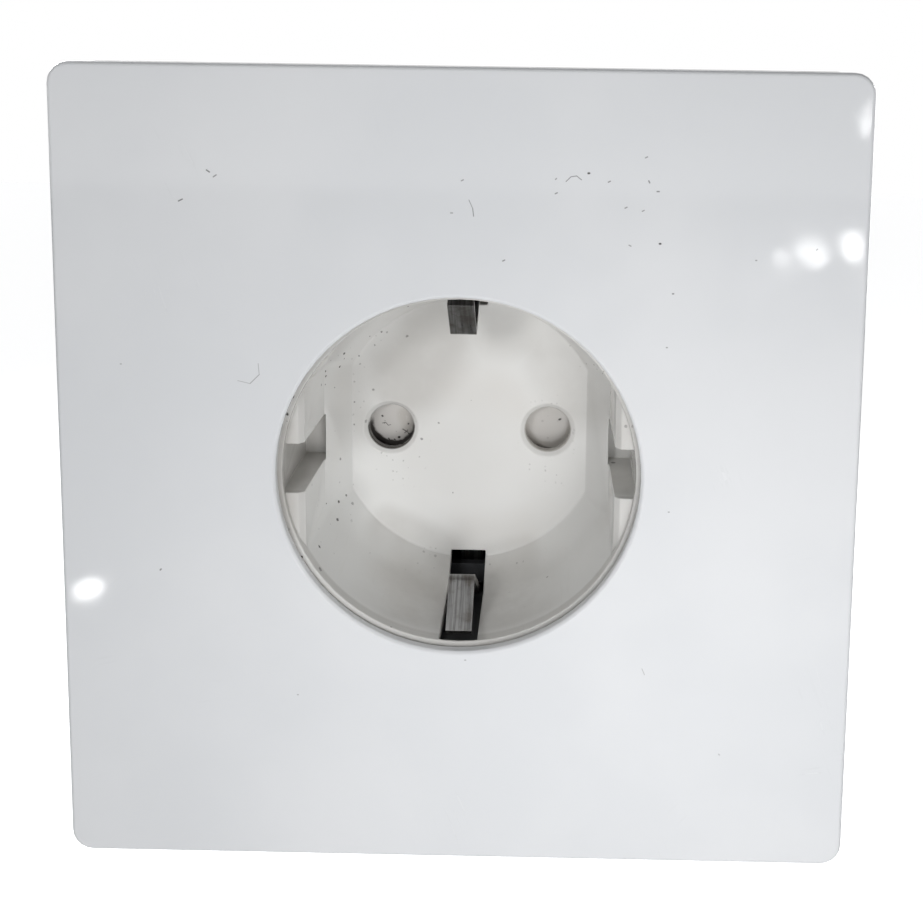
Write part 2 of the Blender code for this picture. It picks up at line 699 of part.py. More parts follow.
def cut_well(cup):
    cut(cup, make_well_cutter())
    join(cup, make_land(-1), make_land(1))
    half_notch = LAND_NOTCH_WIDTH / 2
    notch_y = (front_y + LAND_FRONT_DEPTH, front_y + LAND_NOTCH_DEPTH)
    for side in (-1, 1):
        ends = (side * notch_inner_x, side * notch_outer_x)
        cut(cup, block('land_notch', (min(ends), max(ends)), notch_y, (-half_notch, half_notch)))
        ends = (side * slot_inner_z, side * cavity_half_height)
        cut(cup, block('earth_slot', (-SLOT_WIDTH / 2, SLOT_WIDTH / 2),
                       (front_y + SLOT_FRONT_DEPTH, floor_back + OVERSHOOT), (min(ends), max(ends))))
        centre = (side * pin_x, 0.0)
        cut(cup, hole_cutter('pin_hole', pin_hole_radius, PIN_HOLE_CHAMFER, (floor_front, floor_back),
                             centre))


def cut_chamber_pockets(cup):
    """Room behind each clip slot for a chamber of the rear housing, cut along the recess wall."""
    back = floor_back + OVERSHOOT
    far = housing_half_height + OVERSHOOT
    back_z = pocket_z - (back - bevel_front) * bevel_slope
    for side in (-1, 1):
        outline = [(flange_back, pocket_z), (bevel_front, pocket_z), (back, back_z), (back, far),
                   (flange_back, far)]
        outline = [(y, side * z) for y, z in outline]
        half_width = chamber_half_width + GAP
        cut(cup, side_plate('chamber_pocket', outline, (-half_width, half_width)))


def make_socket_cup():
    flange = rounded_rectangle(flange_half_width, flange_half_height, FLANGE_CORNER_RADIUS)
    cup = plate('socket_cup', [flange], (flange_front, flange_back))
    join(cup, cylinder('cup_barrel', cup_outer_radius, (flange_front + FLANGE_THICKNESS / 2, floor_back),
                       segments=BIG_ROUND))
    base = rounded_rectangle(housing_half_width, housing_half_height, HOUSING_CORNER_RADIUS)
    join(cup, plate('cup_base', [base], (cup_base_front, floor_back)))
    hook_x = opening_half_width - GAP - HOOK_THICKNESS
    for side in (-1, 1):
        for z in (-CUP_HOOK_HEIGHT, CUP_HOOK_HEIGHT):
            join(cup, snap_hook('cup_hook', side, hook_x, z, CUP_HOOK_WIDTH,
                                flange_back - FLANGE_THICKNESS / 2, frame_wall_back + GAP,
                                HOOK_BARB + GAP))
        for z in (-column_z, column_z):
            join(cup, cylinder('cup_boss', CUP_BOSS_RADIUS, (cup_boss_front, floor_back - CUP_FLOOR / 2),
                               (side * column_x, z)))
    cut_well(cup)
    cut_chamber_pockets(cup)
    relief = FIXING_HEAD_RADIUS + RUNNING_GAP
    for side in (-1, 1):
        cut(cup, cylinder('fixing_head_relief', relief, (flange_front - OVERSHOOT, flange_back + GAP),
                          (side * fixing_x, 0.0), 2 * SMALL_ROUND))
        for z in (-column_z, column_z):
            cut(cup, cylinder('cup_screw_bore', HOUSING_SCREW_RADIUS + GAP,
                              (cup_boss_bottom, floor_back + OVERSHOOT), (side * column_x, z)))
    paint_white(cup, 'cup_white')
    return cup


def make_shutter():
    inner_x = pin_x - SHUTTER_WING_WIDTH / 2
    wing_z = (shutter_foot_z, SHUTTER_TOP)
    shutter = block('shutter', (inner_x, shutter_half_width), (shutter_front, shutter_back), wing_z)
    join(shutter, block('shutter_bridge', (-inner_x - OVERSHOOT, inner_x + OVERSHOOT),
                        (shutter_front, shutter_front + SHUTTER_BRIDGE_THICKNESS),
                        (SHUTTER_TOP - SHUTTER_BRIDGE_HEIGHT, SHUTTER_TOP)))
    join(shutter, block('shutter_left_wing', (-shutter_half_width, -inner_x),
                        (shutter_front, shutter_back), wing_z))
    peg_radius = SPRING_COIL_RADIUS - SPRING_WIRE_RADIUS - GAP
    join(shutter, peg('shutter_block', peg_radius * 2, SHUTTER_TOP - OVERSHOOT, SHUTTER_TOP))
    join(shutter, peg('shutter_peg', peg_radius, SHUTTER_TOP - OVERSHOOT / 2,
                      spring_bottom + SPRING_PEG_LENGTH))
    ramp_bottom = window_z + pin_hole_radius - GAP
    ramp_depth = shutter_front + SHUTTER_RAMP_DEPTH
    wedge = [(shutter_front - OVERSHOOT, SHUTTER_RAMP_TOP), (shutter_front, SHUTTER_RAMP_TOP),
             (ramp_depth, ramp_bottom), (shutter_front - OVERSHOOT, ramp_bottom)]
    half_ramp = SHUTTER_WING_WIDTH / 2 - SHUTTER_RAMP_SIDE
    for side in (-1, 1):
        centre = side * pin_x
        cut(shutter, side_plate('shutter_ramp', wedge, (centre - half_ramp, centre + half_ramp)))
        cut(shutter, cylinder('shutter_window', pin_hole_radius,
                              (shutter_front - OVERSHOOT, shutter_back + OVERSHOOT),
                              (centre, window_z), 2 * SMALL_ROUND))
    paint(shutter, 'shutter_grey_white', (0.56, 0.55, 0.53), 0.4)
    return shutter


def peg(name, radius, z_low, z_high):
    """A round peg along Z on the spring's axis."""
    bm = bmesh.new()
    bmesh.ops.create_cone(bm, cap_ends=True, segments=SMALL_ROUND, radius1=radius, radius2=radius,
                          depth=z_high - z_low)
    bmesh.ops.translate(bm, vec=(0.0, spring_y, (z_low + z_high) / 2), verts=bm.verts)
    return mesh_object(name, bm, smooth=True)


def make_shutter_guide():
    outline = [(-guide_half_width, guide_bottom), (guide_half_width, guide_bottom),
               (guide_half_width, guide_top), (-guide_half_width, guide_top)]
    guide = plate('shutter_guide', [outline], (guide_front, guide_back))
    rail_y = (shutter_front, guide_front + GUIDE_THICKNESS / 2)
    inner_x = guide_half_width - GUIDE_RAIL
    join(guide, block('guide_right_rail', (inner_x, guide_half_width), rail_y, (guide_bottom, guide_top)),
         block('guide_left_rail', (-guide_half_width, -inner_x), rail_y, (guide_bottom, guide_top)),
         block('guide_stop', (-guide_half_width + OVERSHOOT, guide_half_width - OVERSHOOT), rail_y,
               (guide_bottom, guide_bottom + GUIDE_RAIL)),
         block('guide_seat', (-GUIDE_SEAT_WIDTH / 2, GUIDE_SEAT_WIDTH / 2), rail_y,
               (guide_seat_z, guide_top)))
    peg_radius = SPRING_COIL_RADIUS - SPRING_WIRE_RADIUS - GAP
    join(guide, peg('guide_peg', peg_radius, guide_seat_z - GAP - SPRING_PEG_LENGTH,
                    guide_seat_z + GUIDE_SEAT_HEIGHT / 2))
    through = (guide_front - OVERSHOOT, guide_back + OVERSHOOT)
    for side in (-1, 1):
        cut(guide, cylinder('guide_pin_hole', pin_hole_radius, through, (side * pin_x, 0.0),
                            2 * SMALL_ROUND))
    cut(guide, cylinder('guide_rivet_hole', RIVET_HEAD_RADIUS + GAP, through))
    paint(guide, 'guide_natural', (0.62, 0.60, 0.55), 0.5)
    return guide


def make_shutter_spring():
    """A compression spring along Z with one dead turn at each end."""
    curve = bpy.data.curves.new('shutter_spring', 'CURVE')
    curve.dimensions = '3D'
    curve.bevel_depth = SPRING_WIRE_RADIUS
    curve.bevel_resolution = 1
    curve.use_fill_caps = True
    per_turn = 12
    count = SPRING_TURNS * per_turn
    wire = 2 * SPRING_WIRE_RADIUS
    free_rise = SPRING_LENGTH - 2 * SPRING_WIRE_RADIUS - 2 * wire
    spline = curve.splines.new('POLY')
    spline.points.add(count)
    for i, point in enumerate(spline.points):
        turn = i / per_turn
        dead = min(turn, 1.0) * wire + max(turn - SPRING_TURNS + 1, 0.0) * wire
        live = min(max((turn - 1) / (SPRING_TURNS - 2), 0.0), 1.0) * free_rise
        angle = 2 * math.pi * turn
        point.co = (SPRING_COIL_RADIUS * math.cos(angle), SPRING_COIL_RADIUS * math.sin(angle),
                    SPRING_WIRE_RADIUS + dead + live, 1.0)
    spring = add_object('shutter_spring', curve, parts)
    spring.location = (0.0, spring_y, spring_bottom)
    paint(spring, 'spring_steel', (0.52, 0.52, 0.52), 0.3, 1.0)
    return spring


def make_contact(name, side):
    """A folded brass strip: two sprung leaves, a neck and a bar for the terminal."""
    base_y = contact_base_front + STRIP_THICKNESS / 2
    centre = side * pin_x
    path = [(centre, base_y, 0.0), (centre + LEAF_SPREAD, base_y, 0.0),
            (centre + LEAF_SPREAD, leaf_straight, 0.0), (centre + LEAF_PINCH, leaf_pinch, 0.0),
            (centre + LEAF_FLARE, leaf_mouth, 0.0)]
    path = round_corners(path[:3], LEAF_BEND_RADIUS) + [Vector(point) for point in path[3:]]
    contact = strip(name, [point - Vector((centre, 0.0, 0.0)) for point in path], (0, 0, 1),
                    (-leaf_half_width, leaf_half_width), STRIP_THICKNESS)
    contact.location = (centre, 0.0, 0.0)
    bpy.context.view_layer.update()
    mirror(contact, 'X')
    neck_x = side * terminal_x
    half_strip = STRIP_THICKNESS / 2
    neck_bottom = -leaf_half_width - NECK_LENGTH
    shoulder = -leaf_half_width - NECK_LENGTH / 3
    neck = [(leaf_straight, STRIP_THICKNESS - leaf_half_width),
            (leaf_straight + NECK_DEPTH, STRIP_THICKNESS - leaf_half_width),
            (leaf_straight + NECK_DEPTH, neck_bottom), (bar_front, neck_bottom), (bar_front, shoulder),
            (leaf_straight, shoulder)]
    join(contact, side_plate(name + '_neck', neck, (neck_x - half_strip, neck_x + half_strip)))
    half_bar = BAR_WIDTH / 2
    bar_bottom = terminal_z - CAGE_LENGTH / 2
    bar_top = terminal_z + CAGE_LENGTH / 2 + RUNNING_GAP
    bar = [(-half_strip, shoulder), (half_bar, shoulder), (half_bar, bar_bottom),
           (-half_bar, bar_bottom), (-half_bar, bar_top), (-half_strip, neck_bottom)]
    bar = [(neck_x + side * x, z) for x, z in bar]
    join(contact, plate(name + '_bar', [bar], (bar_front, bar_back)))
    paint_brass(contact, 'contact_brass')
    return contact


def make_contact_spring(name, side):
    """A steel clip round the two leaves, which presses them together."""
    low = -leaf_half_width - GAP - CLIP_THICKNESS / 2
    high = leaf_half_width
    centre = side * pin_x
    path = [(-clip_x, 0.0, high), (-clip_x, 0.0, low), (clip_x, 0.0, low), (clip_x, 0.0, high)]
    clip_front = leaf_pinch - CLIP_DEPTH / 2
    clip = strip(name, round_corners(path, CLIP_THICKNESS), (0, 1, 0),
                 (clip_front, clip_front + CLIP_DEPTH), CLIP_THICKNESS)
    clip.location = (centre, 0.0, 0.0)
    paint_steel(clip, 'backing_spring_steel')
    return clip


def make_earth_strap():
    """One steel strip: a base across the back and a sprung clip folded at each end."""
    base_y = strap_front + STRAP_THICKNESS / 2
    path = [(0.0, base_y, 0.0), (0.0, base_y, -strap_leg_z), (0.0, floor_back, -strap_leg_z),
            (0.0, front_y + CLIP_APEX_DEPTH, -clip_apex_z),
            (0.0, front_y + CLIP_TIP_DEPTH, -clip_tip_z)]
    bent = round_corners(path[:4], STRAP_BEND_RADIUS)[:-1]
    folded = round_corners(path[2:], CLIP_FOLD_RADIUS)[1:]
    strap = strip('earth_strap', bent + folded, (1, 0, 0), (-STRAP_WIDTH / 2, STRAP_WIDTH / 2),
                  STRAP_THICKNESS)
    mirror(strap, 'Z')
    cut(strap, cylinder('strap_rivet_hole', RIVET_RADIUS + GAP,
                        (strap_front - OVERSHOOT, strap_back + OVERSHOOT)))
    paint_steel(strap, 'strap_steel')
    return strap


def make_earth_bar():
    flat_y = earth_bar_front + BAR_THICKNESS / 2
    bar_y = bar_front + BAR_THICKNESS / 2
    slope_top = -RIVET_HEAD_RADIUS - 2 * BAR_TAIL_ROOM / 3 - STRAP_BEND_RADIUS
    slope_bottom = terminal_z + CAGE_LENGTH / 2 + BAR_TAIL_ROOM
    path = [(0.0, flat_y, 2 * RIVET_HEAD_RADIUS), (0.0, flat_y, slope_top), (0.0, bar_y, slope_bottom),
            (0.0, bar_y, terminal_z - CAGE_LENGTH / 2)]
    bar = strip('earth_bar', round_corners(path, BAR_THICKNESS), (1, 0, 0),
                (-BAR_WIDTH / 2, BAR_WIDTH / 2), BAR_THICKNESS)
    cut(bar, cylinder('bar_rivet_hole', RIVET_RADIUS + GAP,
                      (earth_bar_front - OVERSHOOT, earth_bar_front + BAR_THICKNESS + OVERSHOOT)))
    paint_brass(bar, 'bar_brass')
    return bar


def make_earth_rivet():
    front = strap_front - GAP - RIVET_HEAD_THICKNESS
    back = earth_bar_front + BAR_THICKNESS + GAP
    tail = back + RIVET_HEAD_THICKNESS
    neck = strap_front - GAP
    profile = [(0.0, tail - front), (RIVET_HEAD_RADIUS * 0.7, tail - front),
               (RIVET_HEAD_RADIUS, back - front), (RIVET_RADIUS, back - front), (RIVET_RADIUS, neck - front),
               (RIVET_HEAD_RADIUS, neck - front), (RIVET_HEAD_RADIUS * 0.7, 0.0), (0.0, 0.0)]
    rivet = turned('earth_rivet', profile, (0.0, front, 0.0))
    paint_steel(rivet, 'rivet_steel')
    return rivet


def make_clamp(name, x):
    """A steel cage open along Z, which slides along Y when its screw turns."""
    centre = (x, terminal_z)
    half_length = CAGE_LENGTH / 2
    z_span = (terminal_z - half_length, terminal_z + half_length)
    clamp = block(name, (x - cage_half_width, x + cage_half_width), (cage_front, cage_back), z_span)
    edge = clamp.modifiers.new('edges', 'BEVEL')
    edge.width = CAGE_EDGE_RADIUS
    edge.segments = 2
    edge.limit_method = 'ANGLE'
    cut(clamp, block(name + '_window', (x - cage_inner_half_width, x + cage_inner_half_width),
                     (cage_front_inner, cage_back_inner),
                     (z_span[0] - OVERSHOOT, z_span[1] + OVERSHOOT)))
    cut(clamp, cylinder(name + '_bore', TERMINAL_SCREW_RADIUS + GAP,
                        (cage_back_inner - OVERSHOOT, cage_back + OVERSHOOT), centre))
    paint(clamp, 'clamp_zinc', (0.62, 0.60, 0.52), 0.38, 1.0)
    return clamp


def make_terminal_screw(name, x):
    """A slotted screw along Y, its origin on its own axis under the head."""
    head = TERMINAL_HEAD_THICKNESS
    tip = terminal_tip - terminal_head_front
    profile = [(0.0, head), (TERMINAL_HEAD_RADIUS - SCREW_EDGE, head),
               (TERMINAL_HEAD_RADIUS, head - SCREW_EDGE), (TERMINAL_HEAD_RADIUS, 0.0),
               (TERMINAL_SCREW_RADIUS, 0.0), (TERMINAL_SCREW_RADIUS, tip + SCREW_EDGE),
               (TERMINAL_SCREW_RADIUS - SCREW_EDGE, tip), (0.0, tip)]
    screw = turned(name, profile, (x, terminal_head_front, terminal_z))
    bpy.context.view_layer.update()
    reach = TERMINAL_HEAD_RADIUS + OVERSHOOT
    cut(screw, block(name + '_slot', (x - reach, x + reach),
                     (terminal_head_back - SCREW_SLOT_DEPTH, terminal_head_back + OVERSHOOT),
                     (terminal_z - SCREW_SLOT_WIDTH / 2, terminal_z + SCREW_SLOT_WIDTH / 2)))
    paint(screw, 'screw_zinc', (0.60, 0.60, 0.57), 0.35, 1.0)
    return screw


def make_rear_housing():
    outer = rounded_rectangle(housing_half_width, housing_half_height, HOUSING_CORNER_RADIUS)
    housing = plate('rear_housing', [outer], (housing_front, housing_back))
    edge = housing.modifiers.new('edges', 'BEVEL')
    edge.width = HOUSING_EDGE
    edge.segments = 2
    edge.limit_method = 'ANGLE'
    edge.angle_limit = math.radians(60)
    hollow = rounded_rectangle(cavity_half_width, cavity_half_height,
                               HOUSING_CORNER_RADIUS - HOUSING_WALL)
    cut(housing, plate('housing_hollow', [hollow], (housing_front - OVERSHOOT, cavity_back)))
    add_housing_walls(housing)
    for side in (-1, 1):
        add_clip_chamber(housing, side)
    cut_housing_holes(housing)
    paint(housing, 'housing_dark_grey', (0.045, 0.047, 0.050), 0.5)
    return housing


def add_housing_walls(housing):
    reach_z = cavity_half_height + HOUSING_WALL / 2
    root = cavity_back + HOUSING_BACK_WALL / 2
    cheek_x = LEAF_SPREAD + STRIP_THICKNESS / 2 + GAP
    for side in (-1, 1):
        ends = (side * partition_inner_x, side * partition_outer_x)
        join(housing, block('housing_partition', (min(ends), max(ends)), (strap_front, root),
                            (-reach_z, reach_z)))
        for direction in (-1, 1):
            near = side * pin_x + direction * cheek_x
            far = near + direction * PARTITION_WALL
            join(housing, block('housing_cheek', (min(near, far), max(near, far)),
                                (contact_base_front - NECK_DEPTH / 2, root),
                                (-leaf_half_width / 2, leaf_half_width / 2)))
        for z in (-column_z, column_z):
            join(housing, cylinder('housing_column', COLUMN_RADIUS, (housing_front + GAP, root),
                                   (side * column_x, z)))
    for x in (-terminal_x, 0.0, terminal_x):
        join(housing, cylinder('terminal_ring', TERMINAL_HEAD_RADIUS + GAP + TERMINAL_RING_WALL,
                               (cavity_back - TERMINAL_RING_DEPTH, root), (x, terminal_z)))


def add_clip_chamber(housing, side):
    """A channel that rises beside the recess and closes the space behind an earth clip."""
    front = flange_back + GAP
    outer_z = housing_half_height - GAP
    body = [(front, chamber_z), (bevel_front, chamber_z), (floor_back, chamber_foot_z),
            (floor_back, bridge_inner_z), (bridge_back, bridge_inner_z), (bridge_back, outer_z),
            (front, outer_z)]
    body = [(y, side * z) for y, z in body]
    join(housing, side_plate('clip_chamber', body, (-chamber_half_width, chamber_half_width)))
    open_front = front - OVERSHOOT
    open_back = bridge_back + OVERSHOOT
    open_z = chamber_foot_z - OVERSHOOT
    channel = [(open_front, open_z), (bridge_front, open_z), (bridge_front, bridge_outer_z),
               (open_back, bridge_outer_z), (open_back, cavity_half_height),
               (open_front, cavity_half_height)]
    channel = [(y, side * z) for y, z in channel]
    cut(housing, side_plate('clip_channel', channel, (-channel_half_width, channel_half_width)))


def cut_housing_holes(housing):
    out = housing_back + OVERSHOOT
    wire_y = cage_front_inner + WIRE_ROOM / 2
    for x in (-terminal_x, 0.0, terminal_x):
        cut(housing, cylinder('terminal_ring_bore', TERMINAL_HEAD_RADIUS + GAP,
                              (cavity_back - TERMINAL_RING_DEPTH - OVERSHOOT, cavity_back),
                              (x, terminal_z)))
        cut(housing, cylinder('terminal_access', TERMINAL_ACCESS_RADIUS, (cavity_back - GAP, out),
                              (x, terminal_z)))
        hole = peg('wire_hole', WIRE_HOLE_RADIUS, -housing_half_height - OVERSHOOT,
                   -cavity_half_height + OVERSHOOT)
        hole.location = (x, wire_y - spring_y, 0.0)
        bpy.context.view_layer.update()
        cut(housing, hole)
    for side in (-1, 1):
        for z in (-column_z, column_z):
            cut(housing, cylinder('column_bore', HOUSING_SCREW_RADIUS + GAP,
                                  (housing_front - OVERSHOOT, out), (side * column_x, z)))
            cut(housing, cylinder('column_head_recess', HOUSING_HEAD_RADIUS + GAP,
                                  (housing_head_front - GAP, out), (side * column_x, z)))


def make_housing_screw(name, x, z):
    head = HOUSING_HEAD_THICKNESS
    tip = cup_boss_bottom + GAP - housing_head_front
    profile = [(0.0, head), (HOUSING_HEAD_RADIUS * 0.7, head), (HOUSING_HEAD_RADIUS, head * 0.55),
               (HOUSING_HEAD_RADIUS, 0.0), (HOUSING_SCREW_RADIUS, 0.0),
               (HOUSING_SCREW_RADIUS, tip + 2 * SCREW_EDGE), (SCREW_EDGE, tip), (0.0, tip)]
    screw = turned(name, profile, (x, housing_head_front, z))
    bpy.context.view_layer.update()
    arm = HOUSING_HEAD_RADIUS * 0.6
    half_slot = SCREW_SLOT_WIDTH / 2
    depth = (housing_head_back - SCREW_SLOT_DEPTH, housing_head_back + OVERSHOOT)
    cut(screw, block(name + '_cross_flat', (x - arm, x + arm), depth, (z - half_slot, z + half_slot)),
        block(name + '_cross_upright', (x - half_slot, x + half_slot), depth, (z - arm, z + arm)))
    paint(screw, 'screw_zinc', (0.60, 0.60, 0.57), 0.35, 1.0)
    return screw


def build():
    make_front_panel()
    make_mounting_frame()
    make_fixing_screw('fixing_screw_left', -1)
    make_fixing_screw('fixing_screw_right', 1)
    make_socket_cup()
    make_shutter()
    make_shutter_spring()
    make_shutter_guide()
    for label, side in (('left', -1), ('right', 1)):
        make_contact('contact_' + label, side)
        make_contact_spring('contact_spring_' + label, side)
        make_clamp('clamp_' + label, side * terminal_x)
        make_terminal_screw('terminal_screw_' + label, side * terminal_x)
    make_earth_strap()
    make_earth_bar()
    make_earth_rivet()
    make_clamp('clamp_earth', 0.0)
    make_terminal_screw('terminal_screw_earth', 0.0)
    make_rear_housing()
    corners = [(side * column_x, end * column_z) for end in (1, -1) for side in (-1, 1)]
    for number, (x, z) in enumerate(corners, start=1):
        make_housing_screw('housing_screw_' + str(number), x, z)


clear_scene()
parts = new_collection('wall_socket')
cutters = new_collection('cutters')
build()
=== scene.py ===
import json
import math

import bmesh
import bpy
from mathutils import Matrix, Vector


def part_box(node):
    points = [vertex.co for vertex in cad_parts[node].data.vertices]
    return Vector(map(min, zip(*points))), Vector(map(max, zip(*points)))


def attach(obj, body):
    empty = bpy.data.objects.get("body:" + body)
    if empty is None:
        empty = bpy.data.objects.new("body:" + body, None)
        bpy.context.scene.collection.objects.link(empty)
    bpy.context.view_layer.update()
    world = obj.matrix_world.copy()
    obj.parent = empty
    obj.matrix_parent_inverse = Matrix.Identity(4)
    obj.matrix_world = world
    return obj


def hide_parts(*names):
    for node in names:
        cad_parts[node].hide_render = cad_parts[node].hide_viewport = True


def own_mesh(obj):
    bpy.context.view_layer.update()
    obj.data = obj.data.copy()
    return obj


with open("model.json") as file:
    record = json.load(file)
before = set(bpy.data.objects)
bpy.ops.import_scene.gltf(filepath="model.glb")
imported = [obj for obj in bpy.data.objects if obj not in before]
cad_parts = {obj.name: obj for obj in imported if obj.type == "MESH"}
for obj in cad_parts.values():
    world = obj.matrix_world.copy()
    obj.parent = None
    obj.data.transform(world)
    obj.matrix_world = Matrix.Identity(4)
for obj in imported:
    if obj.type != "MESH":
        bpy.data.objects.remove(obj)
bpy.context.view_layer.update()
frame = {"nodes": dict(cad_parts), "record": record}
mm = 0.001
bodyOf = {node: body for body, nodes in frame["record"]["behaviour"]["bodies"].items() for node in nodes}
print("frame loaded:", len(frame["nodes"]), "nodes")


# Camera, stage and lamps

cameraView = {
    "place": (10.28, -139.42, 47.00),          # mm, in the row frame
    "turn": (82.606, -0.853, 0.637),           # degrees
    "focalPixels": 1266.0,
    "centrePixels": (546.3, 203.0),            # where the lens axis meets the picture
    "imagePixels": 923,
    "sensor": 36.0,
    "nearest": 0.005,                          # m
    "farthest": 20,
}

stageSetup = {
    "floorHeight": -150.0,
    "floorSize": 3000.0,
    "floorColour": (0.84, 0.85, 0.86),
    "floorRoughness": 0.8,
    "floorGlow": 0.83,                         # only for what the camera sees
    "background": (1.0, 1.0, 1.0),
    "ambient": (0.95, 0.97, 1.0),
    "ambientStrength": 0.11,
}

lampSetup = {                                  # place, aim and size in mm, power in watts
    "nearLowRight": {"place": (34, -105, -26), "aim": (4, -8, -4), "size": 80, "power": 0.070},
    "windowUpperLeft": {"place": (-110, -300, 100), "aim": (0, 0, 0), "size": 70, "power": 0.265},
    "windowUpperRight": {"place": (110, -300, 90), "aim": (0, 0, 0), "size": 160, "power": 0.055},
    "behindLeft": {"place": (-300, 330, 220), "aim": (0, 10, 0), "size": 260, "power": 1.5},
    "behindRight": {"place": (340, 320, 40), "aim": (0, 10, 0), "size": 260, "power": 1.1},
}

mirroredLamps = ("behindLeft", "behindRight")    # the others don't show in glossy faces

highlightSetup = {                             # small lamps seen only as reflections on the panel
    "windowGlintOne": {"spot": (37.0, 25.2), "width": 3.4, "height": 2.6, "turn": -24, "strength": 12.0},
    "windowGlintTwo": {"spot": (41.2, 26.0), "width": 2.2, "height": 3.2, "turn": 10, "strength": 16.0},
    "windowGlintThree": {"spot": (33.9, 24.5), "width": 2.0, "height": 2.2, "turn": 30, "strength": 6.5},
    "edgeGlint": {"spot": (42.2, 39.2), "width": 1.1, "height": 3.4, "turn": -8, "strength": 16.0},
    "leftGlint": {"spot": (-40.3, -13.3), "width": 3.2, "height": 2.2, "turn": 10, "strength": 16.0},
}
highlightDistance = 300.0


def makeCamera():
    data = bpy.data.cameras.new("photoCamera")
    camera = bpy.data.objects.new("photoCamera", data)
    bpy.context.scene.collection.objects.link(camera)
    size = cameraView["imagePixels"]
    data.sensor_width = cameraView["sensor"]
    data.lens = cameraView["focalPixels"] / size * cameraView["sensor"]
    data.shift_x = 0.5 - cameraView["centrePixels"][0] / size
    data.shift_y = cameraView["centrePixels"][1] / size - 0.5
    data.clip_start = cameraView["nearest"]
    data.clip_end = cameraView["farthest"]
    camera.location = Vector(cameraView["place"]) * mm
    camera.rotation_euler = [math.radians(angle) for angle in cameraView["turn"]]
    bpy.context.scene.camera = camera


def makeWorld():
    world = bpy.data.worlds.new("studio")
    bpy.context.scene.world = world
    world.use_nodes = True
    tree = world.node_tree
    tree.nodes.clear()
    rays = addNode(tree, "LightPath")
    seen = calc(tree, "MAXIMUM", rays.outputs["Is Camera Ray"], rays.outputs["Is Glossy Ray"])
    seen = calc(tree, "MAXIMUM", seen, rays.outputs["Is Transmission Ray"])
    light = {"Color": rgba(stageSetup["ambient"]), "Strength": stageSetup["ambientStrength"]}
    lit = addNode(tree, "Background", light)
    white = addNode(tree, "Background", {"Color": rgba(stageSetup["background"])})
    mix = addNode(tree, "MixShader", {0: seen, 1: lit.outputs[0], 2: white.outputs[0]})
    addNode(tree, "OutputWorld", {"Surface": mix.outputs[0]})


def makeFloor():
    shape = bmesh.new()
    bmesh.ops.create_grid(shape, x_segments=1, y_segments=1, size=stageSetup["floorSize"] * mm / 2)
    bmesh.ops.translate(shape, vec=(0, 0, stageSetup["floorHeight"] * mm), verts=shape.verts)
    floor = newPiece("studioFloor", shape)
    material = bpy.data.materials.new("floorWhite")
    material.use_nodes = True
    tree = material.node_tree
    shader = tree.nodes["Principled BSDF"]
    shader.inputs["Base Color"].default_value = rgba(stageSetup["floorColour"])
    shader.inputs["Roughness"].default_value = stageSetup["floorRoughness"]
    shader.inputs["Emission Color"].default_value = (1, 1, 1, 1)
    rays = addNode(tree, "LightPath")
    glow = times(tree, rays.outputs["Is Camera Ray"], stageSetup["floorGlow"])
    tree.links.new(glow, shader.inputs["Emission Strength"])
    floor.data.materials.append(material)


def addLamp(name, place, aim, power, shape, size, sizeY=None):
    data = bpy.data.lights.new(name, "AREA")
    data.shape = shape
    data.size = size * mm
    if sizeY:
        data.size_y = sizeY * mm
    data.energy = power
    item = bpy.data.objects.new(name, data)
    bpy.context.scene.collection.objects.link(item)
    item.location = Vector(place) * mm
    item.rotation_euler = (Vector(aim) - Vector(place)).to_track_quat("-Z", "Y").to_euler()
    return item


def makeLamps():
    for name, lamp in lampSetup.items():
        item = addLamp(name, lamp["place"], lamp["aim"], lamp["power"], "DISK", lamp["size"])
        item.visible_glossy = name in mirroredLamps
        item.visible_camera = False
    eye = Vector(cameraView["place"])
    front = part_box("front_panel")[0].y / mm
    for name, glint in highlightSetup.items():
        spot = Vector((glint["spot"][0], front, glint["spot"][1]))
        away = spot - eye
        reach = away.length
        away.y = -away.y                                    # mirrored in the panel's face
        away.normalize()
        place = spot + away * highlightDistance
        grow = (highlightDistance + reach) / reach
        wide, high = glint["width"] * grow, glint["height"] * grow
        power = glint["strength"] * math.pi * wide * high * math.pi / 4 * mm * mm
        item = addLamp(name, place, spot, power, "ELLIPSE", wide, high)
        item.rotation_euler.rotate_axis("Z", math.radians(glint["turn"]))
        item.visible_diffuse = False


# Mesh helpers

weldDistance = 0.001                           # mm
flatAngle = 0.3                                # degrees between faces that count as one


def newPiece(name, shape, smoothAngle=30):
    data = bpy.data.meshes.new(name)
    shape.to_mesh(data)
    shape.free()
    data.shade_smooth()
    data.set_sharp_from_angle(angle=math.radians(smoothAngle))
    piece = bpy.data.objects.new(name, data)
    bpy.context.scene.collection.objects.link(piece)
    return piece


def mergedShape(node):                         # a welded copy of a CAD node, its flat faces whole again
    shape = bmesh.new()
    shape.from_mesh(frame["nodes"][node].data)
    bmesh.ops.remove_doubles(shape, verts=shape.verts, dist=weldDistance * mm)
    bmesh.ops.dissolve_limit(shape, angle_limit=math.radians(flatAngle), verts=shape.verts, edges=shape.edges)
    return shape


def softenEdges(piece, width, angle, segments=2):
    bevel = piece.modifiers.new("softEdges", "BEVEL")
    bevel.width = width * mm
    bevel.segments = segments
    bevel.limit_method = "ANGLE"
    bevel.angle_limit = math.radians(angle)
    bevel.use_clamp_overlap = True
    bevel.harden_normals = False
    evenNormals = piece.modifiers.new("evenNormals", "WEIGHTED_NORMAL")
    evenNormals.weight = 100
    evenNormals.keep_sharp = True


def finishPiece(piece, node, material):
    piece.data.materials.append(material)
    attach(piece, bodyOf[node])
    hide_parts(node)


# Shader helpers

def rgba(colour):
    return (*colour, 1.0)


